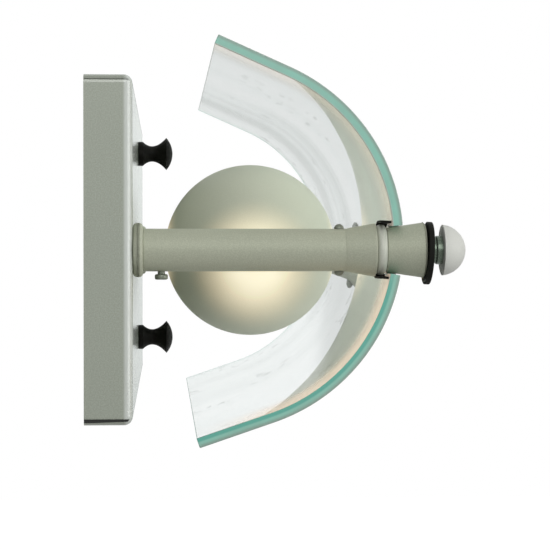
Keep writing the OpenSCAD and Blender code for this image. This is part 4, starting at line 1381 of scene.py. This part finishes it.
class Wiring(Maker):
    """Leads and wire connectors inside the pan, and what holds the rods there."""

    def build(self) -> None:
        """Dresses the nodes, whose shapes are right."""
        self.dress("live_leads", "neutral_leads", "earth_lead", "wire_connectors", "rod_nuts", "rod_washers")


@dataclass
class Studio:
    """Floor, world, lights and camera."""

    camera_place: Colour = (-0.9865, -0.0354, 0.0)
    focal_pixels: float = 1800.0
    aim_right: float = 111.0
    aim_down: float = 25.0
    sensor: float = 36.0
    floor_z: float = -1.8
    floor_reach: float = 12.0
    floor_matt: float = 0.5
    ambient: float = 0.30
    floor_glow: float = 0.90
    floor_gloss: float = 0.55
    floor_bounce: float = 0.14
    gloss: Span = (0.85, 1.0)
    gloss_tint: Colour = (0.965, 1.0, 0.99)
    card: Span = (1.0, 0.58)
    card_right: float = 0.30
    target: Colour = (0.0, -0.08, 0.0)
    floor_points: int = 9
    card_edge: Span = (-0.094, -0.078)
    card_fold: Span = (-0.03, 0.03)
    card_start: Span = (0.90, 0.96)
    gloss_fold: Span = (-0.10, 0.10)
    nearest: float = 0.01
    lights: tuple[tuple[str, Colour, float, float], ...] = (
        ("front", (-1.6, -0.2, 0.75), 9.0, 0.9),
        ("right", (-0.75, -1.55, 0.25), 10.0, 1.1),
    )

    @staticmethod
    def rays(graph: Graph) -> list[Wire]:
        """Shares of camera rays, of mirrored rays, and of rays that a glass lets through.

        Args:
            graph: The graph to add to.

        Returns:
            The three shares, of which at most one is 1.
        """
        names = ("Is Camera Ray", "Is Glossy Ray", "Is Transmission Ray")
        camera, glossy, transmitted = (graph.node("ShaderNodeLightPath", out=name) for name in names)
        return [camera, glossy * (1.0 - transmitted), transmitted]

    def world(self) -> None:
        """Grey light for diffuse surfaces, and white where the camera, a gloss or a glass looks. A grey card
        stands behind the glass at its right end, lighter below: it shows up the glass, as in a studio. To a
        gloss the lower half is a little darker."""
        world = bpy.data.worlds.new("studio")
        bpy.context.scene.world = world
        graph = Graph(world)
        across, beside, up = graph.axes(graph.node("ShaderNodeTexCoord", out="Generated"))
        lower = beside.ramp(*self.card_edge, self.card_right, self.card[0])
        card = lower + up.ramp(*self.card_fold) * (self.card[1] - lower)
        through = across.ramp(*self.card_start) * (card - 1.0) + 1.0
        camera, glossy, transmitted = self.rays(graph)
        mirrored = up.ramp(*self.gloss_fold, *self.gloss)
        seen = camera + glossy * (mirrored - self.ambient) / (1.0 - self.ambient)
        seen = seen + transmitted * (through - self.ambient) / (1.0 - self.ambient)
        strength = self.ambient + (1.0 - self.ambient) * seen
        tint = graph.mix(glossy, WHITE, self.gloss_tint)
        light = graph.node("ShaderNodeBackground", {"Color": tint, "Strength": strength})
        graph.node("ShaderNodeOutputWorld", {"Surface": light})

    def floor(self) -> None:
        """Plain floor far below the light: white to the camera, to gloss and to glass, with a faint glow to
        the rest."""
        t = np.linspace(-self.floor_reach, self.floor_reach, self.floor_points)
        x, y = np.meshgrid(t, t, indexing="ij")
        points = np.stack([x, y, np.full_like(x, self.floor_z)], axis=-1)
        floor = make_piece("floor", [Sheet(points[:, ::-1])], facing=False)
        material = bpy.data.materials.new("floor_white")
        graph = Graph(material)
        camera, glossy, transmitted = self.rays(graph)
        matt = graph.node("ShaderNodeBsdfDiffuse", {"Color": (*[self.floor_matt] * 3, 1.0)})
        strength = (camera + transmitted) * self.floor_glow + glossy * self.floor_gloss
        strength = strength + (1.0 - camera - transmitted - glossy) * self.floor_bounce
        bright = graph.node("ShaderNodeEmission", {"Color": (*WHITE, 1.0), "Strength": strength})
        graph.output(graph.node("ShaderNodeAddShader", {0: matt, 1: bright}))
        floor.data.materials.append(material)

    @staticmethod
    def aim(made: bpy.types.Object, place: Colour, way: Vector) -> None:
        """Places a light or the camera, and turns it to look along a way."""
        made.location = place
        made.rotation_euler = way.to_track_quat("-Z", "Y").to_euler()

    def lamp(self, name: str, place: Colour, power: float, size: float) -> None:
        """Adds a soft square light.

        Args:
            name: Its name.
            place: Where it is.
            power: Its power in watts.
            size: Its side in metres.
        """
        light = bpy.data.lights.new(name, "AREA")
        light.energy = power
        light.size = size
        self.aim(new_object(name, light), place, Vector(self.target) - Vector(place))

    def camera(self) -> None:
        """Camera on the photograph's line of sight: along +x, turned a little outwards and down."""
        data = bpy.data.cameras.new("camera")
        data.sensor_width = self.sensor
        data.lens = self.sensor * self.focal_pixels / PHOTO_SIDE
        data.clip_start = self.nearest
        made = new_object("camera", data)
        self.aim(made, self.camera_place, Vector((self.focal_pixels, -self.aim_right, -self.aim_down)))
        bpy.context.scene.camera = made

    def build(self) -> None:
        """Makes the whole studio."""
        bpy.context.scene.view_settings.view_transform = "Standard"
        self.world()
        self.floor()
        for light in self.lights:
            self.lamp(*light)
        self.camera()


def main() -> None:
    """Builds all sub-assemblies in order, then the studio."""
    logging.basicConfig(level=logging.INFO, format="%(name)s: %(message)s")
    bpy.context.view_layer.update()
    BackPan().build()
    for place in ("upper", "lower"):
        MountingKnob(place).build()
    for side in Side:
        for kind in (Arm, Clamp, Lamp):
            kind(side).build()
    for whole in (CollarScrews(), GlassShade(), LampCarrier(), Wiring(), Studio()):
        whole.build()


if __name__ == "__main__":
    main()
